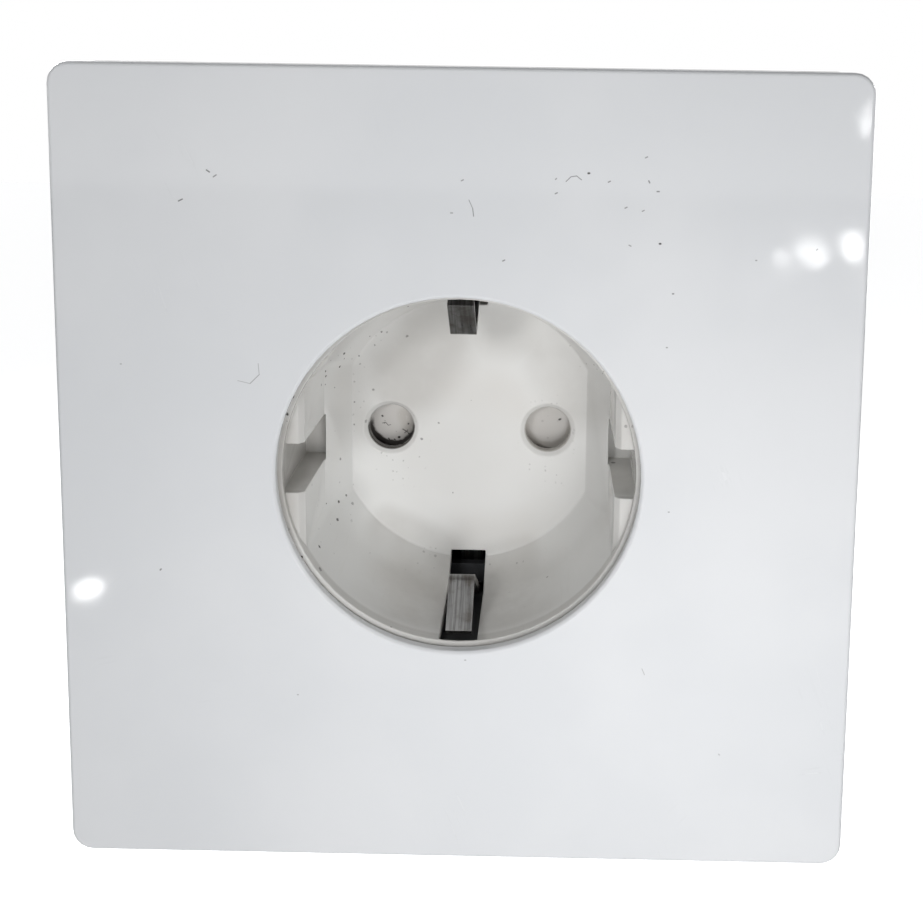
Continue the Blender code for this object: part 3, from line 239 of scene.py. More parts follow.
def plug(tree, value, socket):
    if isinstance(value, bpy.types.NodeSocket):
        tree.links.new(value, socket)
    else:
        socket.default_value = value


def addNode(tree, kind, inputs=None, **settings):
    node = tree.nodes.new("ShaderNode" + kind)
    for name, value in settings.items():
        setattr(node, name, value)
    for socket, value in (inputs or {}).items():
        plug(tree, value, node.inputs[socket])
    return node


def calc(tree, operation, first, second=0.0, clamp=False):
    return addNode(tree, "Math", {0: first, 1: second}, operation=operation, use_clamp=clamp).outputs[0]


def times(tree, first, second, clamp=False):
    return calc(tree, "MULTIPLY", first, second, clamp)


def vectorCalc(tree, operation, first, second=(0, 0, 0), output="Vector"):
    return addNode(tree, "VectorMath", {0: first, 1: second}, operation=operation).outputs[output]


def scaled(tree, vector, factor):
    return addNode(tree, "VectorMath", {0: vector, "Scale": factor}, operation="SCALE").outputs[0]


def remap(tree, value, low, high, outLow=0.0, outHigh=1.0):
    limits = {"Value": value, "From Min": low, "From Max": high, "To Min": outLow, "To Max": outHigh}
    return addNode(tree, "MapRange", limits, interpolation_type="SMOOTHSTEP").outputs["Result"]


def remapLength(tree, value, limits, outLow=0.0, outHigh=1.0):    # limits in mm
    return remap(tree, value, limits[0] * mm, limits[1] * mm, outLow, outHigh)


def blend(tree, mask, under, over, mode="MIX"):
    under, over = (rgba(colour) if isinstance(colour, tuple) else colour for colour in (under, over))
    return addNode(tree, "Mix", {0: mask, 6: under, 7: over}, data_type="RGBA", blend_type=mode).outputs[2]


def noise(tree, place, scale, detail=2.0, roughness=0.5):
    inputs = {"Vector": place, "Scale": scale, "Detail": detail, "Roughness": roughness}
    return addNode(tree, "TexNoise", inputs).outputs["Fac"]


def newGroup(name, inputs, outputs):
    group = bpy.data.node_groups.new(name, "ShaderNodeTree")
    for label, kind, value in inputs:
        socket = group.interface.new_socket(label, in_out="INPUT", socket_type="NodeSocket" + kind)
        if value is not None:
            socket.default_value = value
    for label, kind in outputs:
        group.interface.new_socket(label, in_out="OUTPUT", socket_type="NodeSocket" + kind)
    given = group.nodes.new("NodeGroupInput").outputs
    result = group.nodes.new("NodeGroupOutput").inputs
    return group, given, result


def useGroup(tree, group, inputs):
    node = tree.nodes.new("ShaderNodeGroup")
    node.node_tree = group
    for socket, value in inputs.items():
        plug(tree, value, node.inputs[socket])
    return node.outputs


# Shared effects

def makeMouldedSkin():                         # slow waves and fine grain of a moulded face
    group, given, result = newGroup(
        "mouldedSkin",
        [("Vector", "Vector", None), ("Waves", "Float", 300.0), ("Grain", "Float", 4000.0),
         ("Grain Share", "Float", 0.3)],
        [("Height", "Float"), ("Gloss", "Float"), ("Cloud", "Float")])
    waves = noise(group, given["Vector"], given["Waves"], 2.0)
    grain = noise(group, given["Vector"], given["Grain"], 3.0, 0.65)
    mixed = addNode(group, "Mix", {0: given["Grain Share"], 2: waves, 3: grain}).outputs[0]
    plug(group, mixed, result["Height"])
    plug(group, noise(group, given["Vector"], times(group, given["Waves"], 0.6), 2.0), result["Gloss"])
    plug(group, noise(group, given["Vector"], times(group, given["Waves"], 0.15), 3.0), result["Cloud"])
    return group


def makeHandlingScratches():                   # short fine lines that run roughly one way
    group, given, result = newGroup(
        "handlingScratches",
        [("Vector", "Vector", None), ("Turn", "Float", 0.4), ("Fineness", "Float", 2600.0),
         ("Coverage", "Float", 0.3)],
        [("Mask", "Float")])
    turned = addNode(group, "VectorRotate", {"Vector": given["Vector"], "Angle": given["Turn"]},
                     rotation_type="Y_AXIS").outputs[0]
    bow = addNode(group, "TexNoise", {"Vector": turned, "Scale": 60.0}).outputs["Color"]
    bent = vectorCalc(group, "ADD", turned, scaled(group, bow, 0.0025))
    stretched = vectorCalc(group, "MULTIPLY", bent, (1.0, 1.0, 0.018))
    lines = noise(group, stretched, given["Fineness"], 1.0, 0.4)
    sharp = remap(group, lines, 0.66, 0.72)
    patches = noise(group, turned, 90.0, 2.0)
    limit = calc(group, "SUBTRACT", 0.78, times(group, given["Coverage"], 0.4))
    patch = remap(group, patches, limit, calc(group, "ADD", limit, 0.08))
    plug(group, times(group, sharp, patch), result["Mask"])
    return group


def makeSettledSpecks():                       # crumbs of dirt of uneven size
    group, given, result = newGroup(
        "settledSpecks",
        [("Vector", "Vector", None), ("Cells", "Float", 600.0), ("Size", "Float", 0.12),
         ("Coverage", "Float", 0.15)],
        [("Mask", "Float")])
    finer = times(group, given["Cells"], 5.0)
    wobble = addNode(group, "TexNoise", {"Vector": given["Vector"], "Scale": finer}).outputs["Color"]
    shifted = vectorCalc(group, "ADD", given["Vector"], scaled(group, wobble, 0.00022))
    cells = addNode(group, "TexVoronoi", {"Vector": shifted, "Scale": given["Cells"], "Randomness": 1.0})
    dice = addNode(group, "SeparateColor", {0: cells.outputs["Color"]}).outputs
    size = times(group, given["Size"], calc(group, "POWER", dice[1], 2.0))
    near = remap(group, cells.outputs["Distance"], size, times(group, size, 0.55))
    plug(group, times(group, near, calc(group, "LESS_THAN", dice[0], given["Coverage"])), result["Mask"])
    return group


def makeLintMark():                            # a soft line or dot between two points, whatever its depth
    group, given, result = newGroup(
        "lintMark",
        [("Vector", "Vector", None), ("Start", "Vector", None), ("End", "Vector", None),
         ("Radius", "Float", 0.0001)],
        [("Mask", "Float")])
    flat = vectorCalc(group, "MULTIPLY", given["Vector"], (1, 0, 1))
    fromStart = vectorCalc(group, "SUBTRACT", flat, given["Start"])
    along = vectorCalc(group, "SUBTRACT", given["End"], given["Start"])
    share = calc(group, "DIVIDE", vectorCalc(group, "DOT_PRODUCT", fromStart, along, "Value"),
                 vectorCalc(group, "DOT_PRODUCT", along, along, "Value"), clamp=True)
    far = vectorCalc(group, "DISTANCE", fromStart, scaled(group, along, share), "Value")
    plug(group, remap(group, far, given["Radius"], times(group, given["Radius"], 0.3)), result["Mask"])
    return group


def makeHoleRim():                             # 1 inside a round hole's wall, 0 outside it
    group, given, result = newGroup(
        "holeRim",
        [("Vector", "Vector", None), ("Centre", "Vector", None), ("Radius", "Float", 0.0028),
         ("Edge", "Float", 0.0001)],
        [("Mask", "Float"), ("Distance", "Float")])
    flat = vectorCalc(group, "MULTIPLY", given["Vector"], (1, 0, 1))
    far = vectorCalc(group, "DISTANCE", flat, given["Centre"], "Value")
    outer = calc(group, "ADD", given["Radius"], given["Edge"])
    plug(group, remap(group, far, outer, given["Radius"]), result["Mask"])
    plug(group, far, result["Distance"])
    return group


def makeCreviceGrimeAndShade():                        # grime and painted shade: darker where faces meet, found by ambient occlusion
    group, given, result = newGroup(
        "creviceGrimeAndShade",
        [("Vector", "Vector", None), ("Reach", "Float", 0.0012), ("Amount", "Float", 1.0)],
        [("Mask", "Float")])
    shade = addNode(group, "AmbientOcclusion", {"Distance": given["Reach"]}, samples=4)
    corner = remap(group, shade.outputs["AO"], 0.72, 0.30)
    uneven = remap(group, noise(group, given["Vector"], 700.0, 4.0, 0.7), 0.30, 0.68)
    patchy = times(group, corner, uneven)
    plug(group, times(group, patchy, given["Amount"], clamp=True), result["Mask"])
    return group


def makeEdgeWear():                            # the outer corners, rubbed unevenly
    group, given, result = newGroup(
        "edgeWear",
        [("Vector", "Vector", None), ("Reach", "Float", 0.0003), ("Amount", "Float", 1.0)],
        [("Mask", "Float")])
    thin = addNode(group, "AmbientOcclusion", {"Distance": given["Reach"]}, samples=4, inside=True)
    corner = remap(group, thin.outputs["AO"], 0.80, 0.45)
    uneven = remap(group, noise(group, given["Vector"], 900.0, 4.0, 0.7), 0.32, 0.60)
    patchy = times(group, corner, uneven)
    plug(group, times(group, patchy, given["Amount"], clamp=True), result["Mask"])
    return group


def makeRolledMetal():                         # draw lines of strip, pits, and a slow tarnish
    group, given, result = newGroup(
        "rolledMetal",
        [("Vector", "Vector", None), ("Across", "Vector", (1.0, 0.03, 0.03)), ("Fineness", "Float", 3000.0)],
        [("Lines", "Float"), ("Pits", "Float"), ("Tarnish", "Float")])
    stretched = vectorCalc(group, "MULTIPLY", given["Vector"], given["Across"])
    plug(group, noise(group, stretched, given["Fineness"], 3.0, 0.75), result["Lines"])
    pits = noise(group, given["Vector"], 5200.0, 2.0, 0.6)
    plug(group, remap(group, pits, 0.66, 0.74), result["Pits"])
    plug(group, remap(group, noise(group, given["Vector"], 420.0, 5.0, 0.65), 0.42, 0.66), result["Tarnish"])
    return group


# Materials

def startMaterial(name, metallic=0.0):
    material = bpy.data.materials.new(name)
    material.use_nodes = True
    tree = material.node_tree
    shader = tree.nodes["Principled BSDF"]
    shader.inputs["Metallic"].default_value = metallic
    return material, tree, shader.inputs, addNode(tree, "TexCoord").outputs["Object"]


def addBump(tree, sockets, height, depth):
    bump = addNode(tree, "Bump", {"Strength": 1.0, "Distance": depth * mm, "Height": height})
    plug(tree, bump.outputs[0], sockets["Normal"])


def addSkin(tree, place, shared, look, fineness=4000.0):
    inputs = {"Vector": place, "Waves": look["waves"], "Grain": fineness, "Grain Share": look["grainShare"]}
    return useGroup(tree, shared["mouldedSkin"], inputs)


def roughnessOf(tree, skin, look):             # a moulded face's, between the two values of its gloss
    return remap(tree, skin["Gloss"], 0.35, 0.70, *look["gloss"])


def addSpecks(tree, place, shared, cells, size, coverage):
    inputs = {"Vector": place, "Cells": cells, "Size": size, "Coverage": coverage}
    return useGroup(tree, shared["settledSpecks"], inputs)[0]


def addScratches(tree, place, shared, turn, fineness, coverage):
    inputs = {"Vector": place, "Turn": turn, "Fineness": fineness, "Coverage": coverage}
    return useGroup(tree, shared["handlingScratches"], inputs)[0]


def markMask(tree, place, marks, shared):      # all the marks of one list, the strongest wins
    mask = None
    for x1, z1, x2, z2, radius, strength in marks:
        mark = useGroup(tree, shared["lintMark"], {"Vector": place, "Start": (x1 * mm, 0, z1 * mm),
                                                   "End": (x2 * mm, 0, z2 * mm), "Radius": radius * mm})[0]
        mark = times(tree, mark, strength)
        mask = mark if mask is None else calc(tree, "MAXIMUM", mask, mark)
    return mask


panelLook = {
    "pale": (0.790, 0.800, 0.815),
    "deep": (0.755, 0.768, 0.786),
    "waves": 260.0,
    "grainShare": 0.08,
    "waveDepth": 0.0035,                       # mm
    "gloss": (0.045, 0.085),
    "speck": (0.30, 0.29, 0.28),
    "lint": (0.09, 0.085, 0.085),
    "specks": (210.0, 0.055, 0.22),            # cells per m, size and coverage
    "speckShare": 0.55,
    "scratches": (                             # turn, fineness and coverage
        (0.35, 3200.0, 0.45), (-0.9, 3800.0, 0.30), (1.7, 3400.0, 0.30),
    ),
    "scratch": (0.62, 0.63, 0.64),
    "scratchLift": 0.16,
    "scratchRoughness": 0.25,
    "marks": [                                 # x, z, x, z, radius in mm and strength
        (-29.4, 29.6, -29.0, 29.8, 0.10, 0.8), (-26.4, 32.9, -26.1, 32.7, 0.11, 0.8),
        (-25.7, 32.2, -25.4, 32.4, 0.10, 0.7), (11.1, 32.3, 11.6, 32.8, 0.07, 0.7),
        (11.6, 32.8, 12.2, 32.9, 0.07, 0.7), (12.2, 32.9, 12.7, 32.5, 0.07, 0.7),
        (13.4, 33.2, 13.5, 33.2, 0.16, 1.0), (10.0, 32.5, 10.1, 32.6, 0.10, 0.6),
        (15.5, 32.3, 15.7, 32.4, 0.10, 0.7), (19.7, 32.5, 19.8, 32.3, 0.11, 0.7),
        (20.6, 31.4, 20.8, 31.4, 0.11, 0.7), (19.3, 34.9, 19.5, 35.0, 0.10, 0.6),
        (1.5, 28.5, 1.4, 29.3, 0.07, 0.7), (1.4, 29.3, 1.0, 30.2, 0.06, 0.6),
        (0.2, 32.2, 0.4, 32.3, 0.10, 0.6), (-0.9, 28.8, -0.7, 28.8, 0.09, 0.6),
        (4.6, 23.8, 4.8, 23.9, 0.10, 0.7), (10.0, 31.0, 10.2, 31.1, 0.10, 0.7),
        (17.3, 29.6, 17.5, 29.7, 0.10, 0.6), (19.1, 29.3, 19.3, 29.4, 0.09, 0.6),
        (17.8, 25.7, 18.0, 25.6, 0.09, 0.6), (21.0, 25.9, 21.1, 25.9, 0.15, 1.0),
        (-23.5, 10.4, -22.2, 10.1, 0.06, 0.35), (-22.2, 10.1, -21.2, 11.1, 0.07, 0.5),
        (-21.2, 11.1, -21.3, 12.3, 0.06, 0.4), (-32.3, -10.9, -32.2, -10.8, 0.12, 0.7),
        (37.4, 25.5, 37.5, 25.6, 0.10, 0.5), (31.1, 24.3, 31.2, 24.3, 0.10, 0.6),
        (22.0, 14.8, 22.1, 14.8, 0.10, 0.6), (22.5, 20.6, 22.6, 20.6, 0.12, 0.7),
        (0.9, -20.6, 1.0, -20.6, 0.10, 0.5), (20.3, -21.2, 20.6, -21.9, 0.06, 0.4),
        (22.7, -3.3, 22.8, -3.3, 0.10, 0.5), (-17.5, -25.0, -17.4, -25.0, 0.09, 0.5),
        (29.0, -31.0, 29.1, -31.1, 0.10, 0.4), (-36.0, 12.0, -35.9, 12.0, 0.10, 0.4),
    ],
}


def makePanelWhite(shared):
    look = panelLook
    material, tree, sockets, place = startMaterial("panelWhite")
    skin = addSkin(tree, place, shared, look)
    colour = blend(tree, remap(tree, skin["Cloud"], 0.35, 0.65), look["deep"], look["pale"])
    specks = addSpecks(tree, place, shared, *look["specks"])
    colour = blend(tree, times(tree, specks, look["speckShare"]), colour, look["speck"])
    colour = blend(tree, markMask(tree, place, look["marks"], shared), colour, look["lint"])
    scratches = [addScratches(tree, place, shared, *run) for run in look["scratches"]]
    rubbed = calc(tree, "MAXIMUM", calc(tree, "MAXIMUM", scratches[0], scratches[1]), scratches[2])
    colour = blend(tree, times(tree, rubbed, look["scratchLift"]), colour, look["scratch"])
    plug(tree, colour, sockets["Base Color"])
    rough = roughnessOf(tree, skin, look)
    rough = calc(tree, "ADD", rough, times(tree, rubbed, look["scratchRoughness"]))
    plug(tree, rough, sockets["Roughness"])
    addBump(tree, sockets, skin["Height"], look["waveDepth"])
    return material


cupLook = {
    "pale": (0.800, 0.800, 0.785),
    "deep": (0.760, 0.755, 0.738),
    "warmShade": (0.700, 0.675, 0.640),
    "filmAndPaintedShade": (0.430, 0.412, 0.385),          # the darker film on upward faces, the painted shadow patches and the painted shade on the rim
    "waves": 240.0,
    "grainShare": 0.12,
    "waveDepth": 0.006,                        # mm
    "gloss": (0.19, 0.25),
    "polish": 0.11,                            # how much glossier the recess's wall is
    "grimeAndShade": (0.300, 0.270, 0.235),
    "dirtAndShade": (0.045, 0.040, 0.036),
    "pinSpacing": 19.0,                        # mm
    "pinHole": 2.84,
    "floorDepth": 9.0,
    "wallStart": (15.6, 16.6),                 # mm, radius where the floor ends and the wall begins
    "wallFoot": (8.9, 7.5),                    # from here on, places along Y in mm
    "filmDepth": (-6.4, -4.0),
    "rimDepth": (-5.2, -5.8),
    "ridgeDepth": (-5.5, -5.9),
    "ridgePitch": 0.42,                        # mm from ridge to ridge
    "holeMouth": (0.30, 0.60),                 # behind the floor
    "holeShadeHeight": (1.3, 0.5),                 # above the hole's middle
    "crumbs": (1500.0, 0.42, 0.36),            # cells per m, size and coverage
    "strays": (520.0, 0.20, 0.22),
    "dirtyZones": [                            # x, z, x, z, radius in mm and strength
        (-9.5, 16.2, -17.3, 7.4, 4.2, 1.0), (-16.0, 5.0, -14.5, 1.0, 3.4, 0.6),
        (-16.6, -9.0, -20.0, -15.5, 4.0, 0.9), (-9.5, -1.0, -8.0, -3.5, 5.0, 0.30),
        (9.5, 1.0, 9.8, -4.0, 4.5, 0.25), (14.0, 12.0, 17.0, 7.0, 3.5, 0.6),
        (-6.0, -16.0, 6.0, -16.5, 2.0, 0.3),
    ],
    "paintedShadows": [                               # painted shadows on the recess's floor, lands and wall where the rim and the clip shade them, same order
        (-8.0, 6.0, -4.0, 12.0, 7.5, 0.50), (-2.0, 13.0, 8.0, 12.0, 5.0, 0.34),
        (10.0, 10.0, 13.0, 4.0, 5.5, 0.36), (-11.0, 0.0, -13.0, 6.0, 4.0, 0.30),
        (-10.0, -12.0, -3.0, -15.0, 3.2, 0.34), (3.0, -16.0, 7.0, -15.0, 2.6, 0.20),
        (-19.4, 4.5, -19.4, -8.0, 2.1, 0.60),
    ],
}


def makeCupWhite(shared):
    look = cupLook
    material, tree, sockets, place = startMaterial("cupWhite")
    axes = addNode(tree, "SeparateXYZ", {0: place}).outputs
    skin = addSkin(tree, place, shared, look)
    colour = blend(tree, remap(tree, skin["Cloud"], 0.38, 0.64), look["deep"], look["pale"])
    smudges = remap(tree, noise(tree, place, 95.0, 1.5, 0.5), 0.45, 0.75, 0.0, 0.40)
    colour = blend(tree, smudges, colour, look["warmShade"])
    # painted shadows: the recess darkened where the rim, the lands and the clip shade it
    uneven = remap(tree, noise(tree, place, 150.0, 3.0), 0.3, 0.6, 0.6, 1.0)
    paintedShadows = times(tree, markMask(tree, place, look["paintedShadows"], shared), uneven)
    colour = blend(tree, paintedShadows, colour, look["filmAndPaintedShade"])
    radial = useGroup(tree, shared["holeRim"], {"Vector": place, "Centre": (0, 0, 0)})["Distance"]
    outside = remapLength(tree, radial, look["wallStart"])
    onWall = times(tree, outside, remapLength(tree, axes[1], look["wallFoot"]))
    plugRubs = noise(tree, vectorCalc(tree, "MULTIPLY", place, (1.0, 0.03, 1.0)), 1700.0, 3.0, 0.7)
    plugRubs = times(tree, remap(tree, plugRubs, 0.58, 0.70), onWall)
    colour = blend(tree, times(tree, plugRubs, 0.16), colour, look["warmShade"])
    # grime and painted shade where the recess's faces meet
    grimeAndShade = useGroup(tree, shared["creviceGrimeAndShade"], {"Vector": place, "Reach": 0.0006, "Amount": 0.45})[0]
    colour = blend(tree, grimeAndShade, colour, look["grimeAndShade"])
    facing = addNode(tree, "SeparateXYZ", {0: addNode(tree, "NewGeometry").outputs["Normal"]}).outputs[2]
    # darker on the wall's upward faces, deep in the recess
    inward = remapLength(tree, axes[1], look["filmDepth"], 0.0, 0.50)
    film = times(tree, remap(tree, facing, 0.70, 0.98), inward)
    film = times(tree, film, remap(tree, noise(tree, place, 260.0, 4.0, 0.6), 0.25, 0.70, 0.65, 1.0))
    colour = blend(tree, film, colour, look["filmAndPaintedShade"])
    # painted shade on the rim's front ring, toning down its highlight
    paintedRimShade = remapLength(tree, axes[1], look["rimDepth"], 0.0, 0.42)
    colour = blend(tree, paintedRimShade, colour, look["filmAndPaintedShade"])
    zones = markMask(tree, place, look["dirtyZones"], shared)
    crumbs = addSpecks(tree, place, shared, *look["crumbs"])
    strays = addSpecks(tree, place, shared, *look["strays"])
    crumbs = calc(tree, "MAXIMUM", times(tree, crumbs, zones), times(tree, strays, 0.55))
    colour = blend(tree, crumbs, colour, look["dirtAndShade"])
    inHoles = remapLength(tree, axes[1], [look["floorDepth"] + step for step in look["holeMouth"]])
    # painted shade: each pin hole's wall behind the floor darkened towards its bottom, near black on the left
    # and grey on the right
    for side, dark, strength in ((-1, look["dirtAndShade"], 0.97), (1, look["grimeAndShade"], 0.55)):
        centre = (side * look["pinSpacing"] / 2 * mm, 0, 0)
        hole = {"Vector": place, "Centre": centre, "Radius": look["pinHole"] * mm, "Edge": 0.06 * mm}
        rim = useGroup(tree, shared["holeRim"], hole)["Mask"]
        ragged = calc(tree, "ADD", axes[2], times(tree, noise(tree, place, 900.0, 3.0), 1.2 * mm))
        holeShade = remapLength(tree, ragged, look["holeShadeHeight"], 0.25, 1.0)
        wall = times(tree, times(tree, rim, inHoles), times(tree, holeShade, strength))
        colour = blend(tree, wall, colour, dark)
    plug(tree, colour, sockets["Base Color"])
    rough = roughnessOf(tree, skin, look)
    rough = calc(tree, "SUBTRACT", rough, times(tree, onWall, look["polish"]))
    plug(tree, calc(tree, "ADD", rough, times(tree, grimeAndShade, 0.35), clamp=True), sockets["Roughness"])
    rings = calc(tree, "SINE", times(tree, axes[1], 2 * math.pi / (look["ridgePitch"] * mm)))
    rings = remap(tree, rings, 0.4, 1.0)
    rings = times(tree, rings, remapLength(tree, axes[1], look["ridgeDepth"], 0.0, 0.8))
    height = calc(tree, "SUBTRACT", skin["Height"], rings)
    addBump(tree, sockets, height, look["waveDepth"])
    return material


shutterLook = {
    "pale": (0.600, 0.580, 0.555),
    "deep": (0.500, 0.475, 0.440),
    "dirtAndShade": (0.040, 0.036, 0.033),
    "waves": 700.0,
    "grainShare": 0.4,
    "scuff": (0.66, 0.65, 0.63),
    "scuffs": (0.2, 5200.0, 0.8),              # turn, fineness and coverage
    "crumbs": (1700.0, 0.42, 0.45),            # cells per m, size and coverage
    "gloss": (0.28, 0.45),
    "grain": 0.006,                            # mm
    "feet": (                                  # painted shadow round each hole's foot: side, colour, strength and inner radius in mm
        (-1, "dirtAndShade", 0.97, 2.6), (1, "deep", 0.80, 2.45),
    ),
    "marks": [                                 # x, z, x, z, radius in mm and strength
        (-10.9, 0.7, -10.85, 0.65, 0.17, 1.0), (10.9, 0.6, 11.0, 0.65, 0.20, 0.9),
        (-10.9, -0.3, -10.5, -0.2, 0.07, 0.8), (-10.5, -0.2, -10.2, -0.6, 0.07, 0.8),
        (-10.2, -0.6, -9.9, -0.5, 0.07, 0.7), (-8.4, -1.1, -7.8, -1.5, 0.12, 0.8),
        (-8.2, -1.6, -7.8, -1.2, 0.10, 0.7), (-10.2, -2.4, -10.1, -2.6, 0.14, 0.9),
        (-9.5, -2.5, -9.4, -2.6, 0.13, 0.9),
    ],
    # painted shadow inside the left hole, on its right side: x, z, x, z, radius in mm and strength
    "holeShadow": [(-8.0, 0.9, -7.6, -0.6, 1.5, 0.75)],
}


def makeShutterWhite(shared):
    look = shutterLook
    material, tree, sockets, place = startMaterial("shutterWhite")
    axes = addNode(tree, "SeparateXYZ", {0: place}).outputs
    skin = addSkin(tree, place, shared, look)
    colour = blend(tree, remap(tree, skin["Cloud"], 0.4, 0.65, 0.0, 0.45), look["pale"], look["deep"])
    # painted shadow inside the left hole
    colour = blend(tree, markMask(tree, place, look["holeShadow"], shared), colour, look["deep"])
    scuffs = addScratches(tree, place, shared, *look["scuffs"])
    colour = blend(tree, times(tree, scuffs, 0.3), colour, look["scuff"])
    crumbs = addSpecks(tree, place, shared, *look["crumbs"])
    leftSide = remapLength(tree, axes[0], (2.0, -2.0), 0.18, 1.0)
    colour = blend(tree, times(tree, crumbs, leftSide), colour, look["dirtAndShade"])
    colour = blend(tree, markMask(tree, place, look["marks"], shared), colour, look["dirtAndShade"])
    for side, dark, strength, start in look["feet"]:    # painted shadow round each hole's foot, darker towards the bottom
        centre = (side * cupLook["pinSpacing"] / 2 * mm, 0, -0.1 * mm)
        far = useGroup(tree, shared["holeRim"], {"Vector": place, "Centre": centre})["Distance"]
        uneven = times(tree, noise(tree, place, 1400.0, 3.0), 0.5 * mm)
        ring = remapLength(tree, calc(tree, "ADD", far, uneven), (start, start + 0.3))
        foot = times(tree, ring, remapLength(tree, axes[2], (0.8, -0.5), 0.12, strength))
        foot = times(tree, foot, remapLength(tree, times(tree, axes[0], side), (3, 5)))
        colour = blend(tree, foot, colour, look[dark])
    plug(tree, colour, sockets["Base Color"])
    plug(tree, roughnessOf(tree, skin, look), sockets["Roughness"])
    addBump(tree, sockets, calc(tree, "ADD", skin["Height"], times(tree, crumbs, 0.8)), look["grain"])
    return material


guideLook = {
    "pale": (0.66, 0.64, 0.58),
    "deep": (0.55, 0.52, 0.45),
    "grimeAndShade": (0.30, 0.26, 0.20),
    "waves": 380.0,
    "grainShare": 0.35,
    "gloss": (0.30, 0.48),
    "grain": 0.008,                            # mm
}


def makeGuideNatural(shared):
    look = guideLook
    material, tree, sockets, place = startMaterial("guideNatural")
    skin = addSkin(tree, place, shared, look)
    colour = blend(tree, remap(tree, skin["Cloud"], 0.38, 0.64), look["deep"], look["pale"])
    # grime and painted shade where the guide's faces meet
    grimeAndShade = useGroup(tree, shared["creviceGrimeAndShade"], {"Vector": place, "Reach": 0.0008, "Amount": 0.4})[0]
    plug(tree, blend(tree, grimeAndShade, colour, look["grimeAndShade"]), sockets["Base Color"])
    plug(tree, roughnessOf(tree, skin, look), sockets["Roughness"])
    addBump(tree, sockets, skin["Height"], look["grain"])
    return material


darkShared = {
    "waves": 520.0,
    "fineness": 5200.0,
    "grainShare": 0.65,
    "dust": (0.36, 0.35, 0.33),
    "speck": (0.42, 0.41, 0.38),
    "specks": (480.0, 0.16, 0.20),             # cells per m, size and coverage
    "worn": (0.17, 0.17, 0.17),
    "ringRadius": 1.7,                         # mm, an ejector mark's groove
    "ringWidth": 0.06,
    "sunkRadius": 1.65,
}

darkLooks = {                                  # rings: x and z of each ejector mark in mm
    "frameGrey": {"base": (0.055, 0.058, 0.062), "fibre": (0.095, 0.098, 0.102),
                  "gloss": (0.34, 0.50), "grain": 0.014,
                  "rings": [(-37.0, -37.0), (37.0, -37.0), (-37.0, 37.0), (37.0, 37.0),
                            (0.0, -35.0), (0.0, 35.0)]},
    "housingGrey": {"base": (0.038, 0.040, 0.043), "fibre": (0.070, 0.072, 0.075),
                    "gloss": (0.38, 0.55), "grain": 0.012,
                    "rings": [(-7.5, 9.5), (7.5, 9.5), (-7.5, -3.5), (7.5, -3.5), (0.0, 17.5), (0.0, 2.5)]},
}


def makeDarkPlastic(name, shared):             # glass-filled plastic, with ejector marks on its back
    look = darkLooks[name]
    material, tree, sockets, place = startMaterial(name)
    skin = addSkin(tree, place, shared, darkShared, darkShared["fineness"])
    fibres = noise(tree, vectorCalc(tree, "MULTIPLY", place, (1.0, 1.0, 0.22)), 3600.0, 3.0, 0.8)
    colour = blend(tree, remap(tree, fibres, 0.50, 0.72, 0.0, 0.7), look["base"], look["fibre"])
    dust = remap(tree, noise(tree, place, 85.0, 5.0, 0.65), 0.50, 0.78, 0.0, 0.16)
    colour = blend(tree, dust, colour, darkShared["dust"])
    specks = addSpecks(tree, place, shared, *darkShared["specks"])
    colour = blend(tree, times(tree, specks, 0.6), colour, darkShared["speck"])
    wear = useGroup(tree, shared["edgeWear"], {"Vector": place, "Reach": 0.00035, "Amount": 0.45})[0]
    colour = blend(tree, wear, colour, darkShared["worn"])
    plug(tree, colour, sockets["Base Color"])
    rough = roughnessOf(tree, skin, look)
    plug(tree, calc(tree, "SUBTRACT", rough, times(tree, wear, 0.12)), sockets["Roughness"])
    height = skin["Height"]
    for x, z in look["rings"]:
        mark = {"Vector": place, "Centre": (x * mm, 0, z * mm), "Radius": darkShared["sunkRadius"] * mm}
        far = useGroup(tree, shared["holeRim"], mark)
        limits = {0: far["Distance"], 1: darkShared["ringRadius"] * mm, 2: darkShared["ringWidth"] * mm}
        groove = addNode(tree, "Math", limits, operation="COMPARE").outputs[0]
        height = calc(tree, "SUBTRACT", height, times(tree, groove, 3.0))
        height = calc(tree, "SUBTRACT", height, times(tree, far["Mask"], 0.8))
    addBump(tree, sockets, height, look["grain"])
    return material


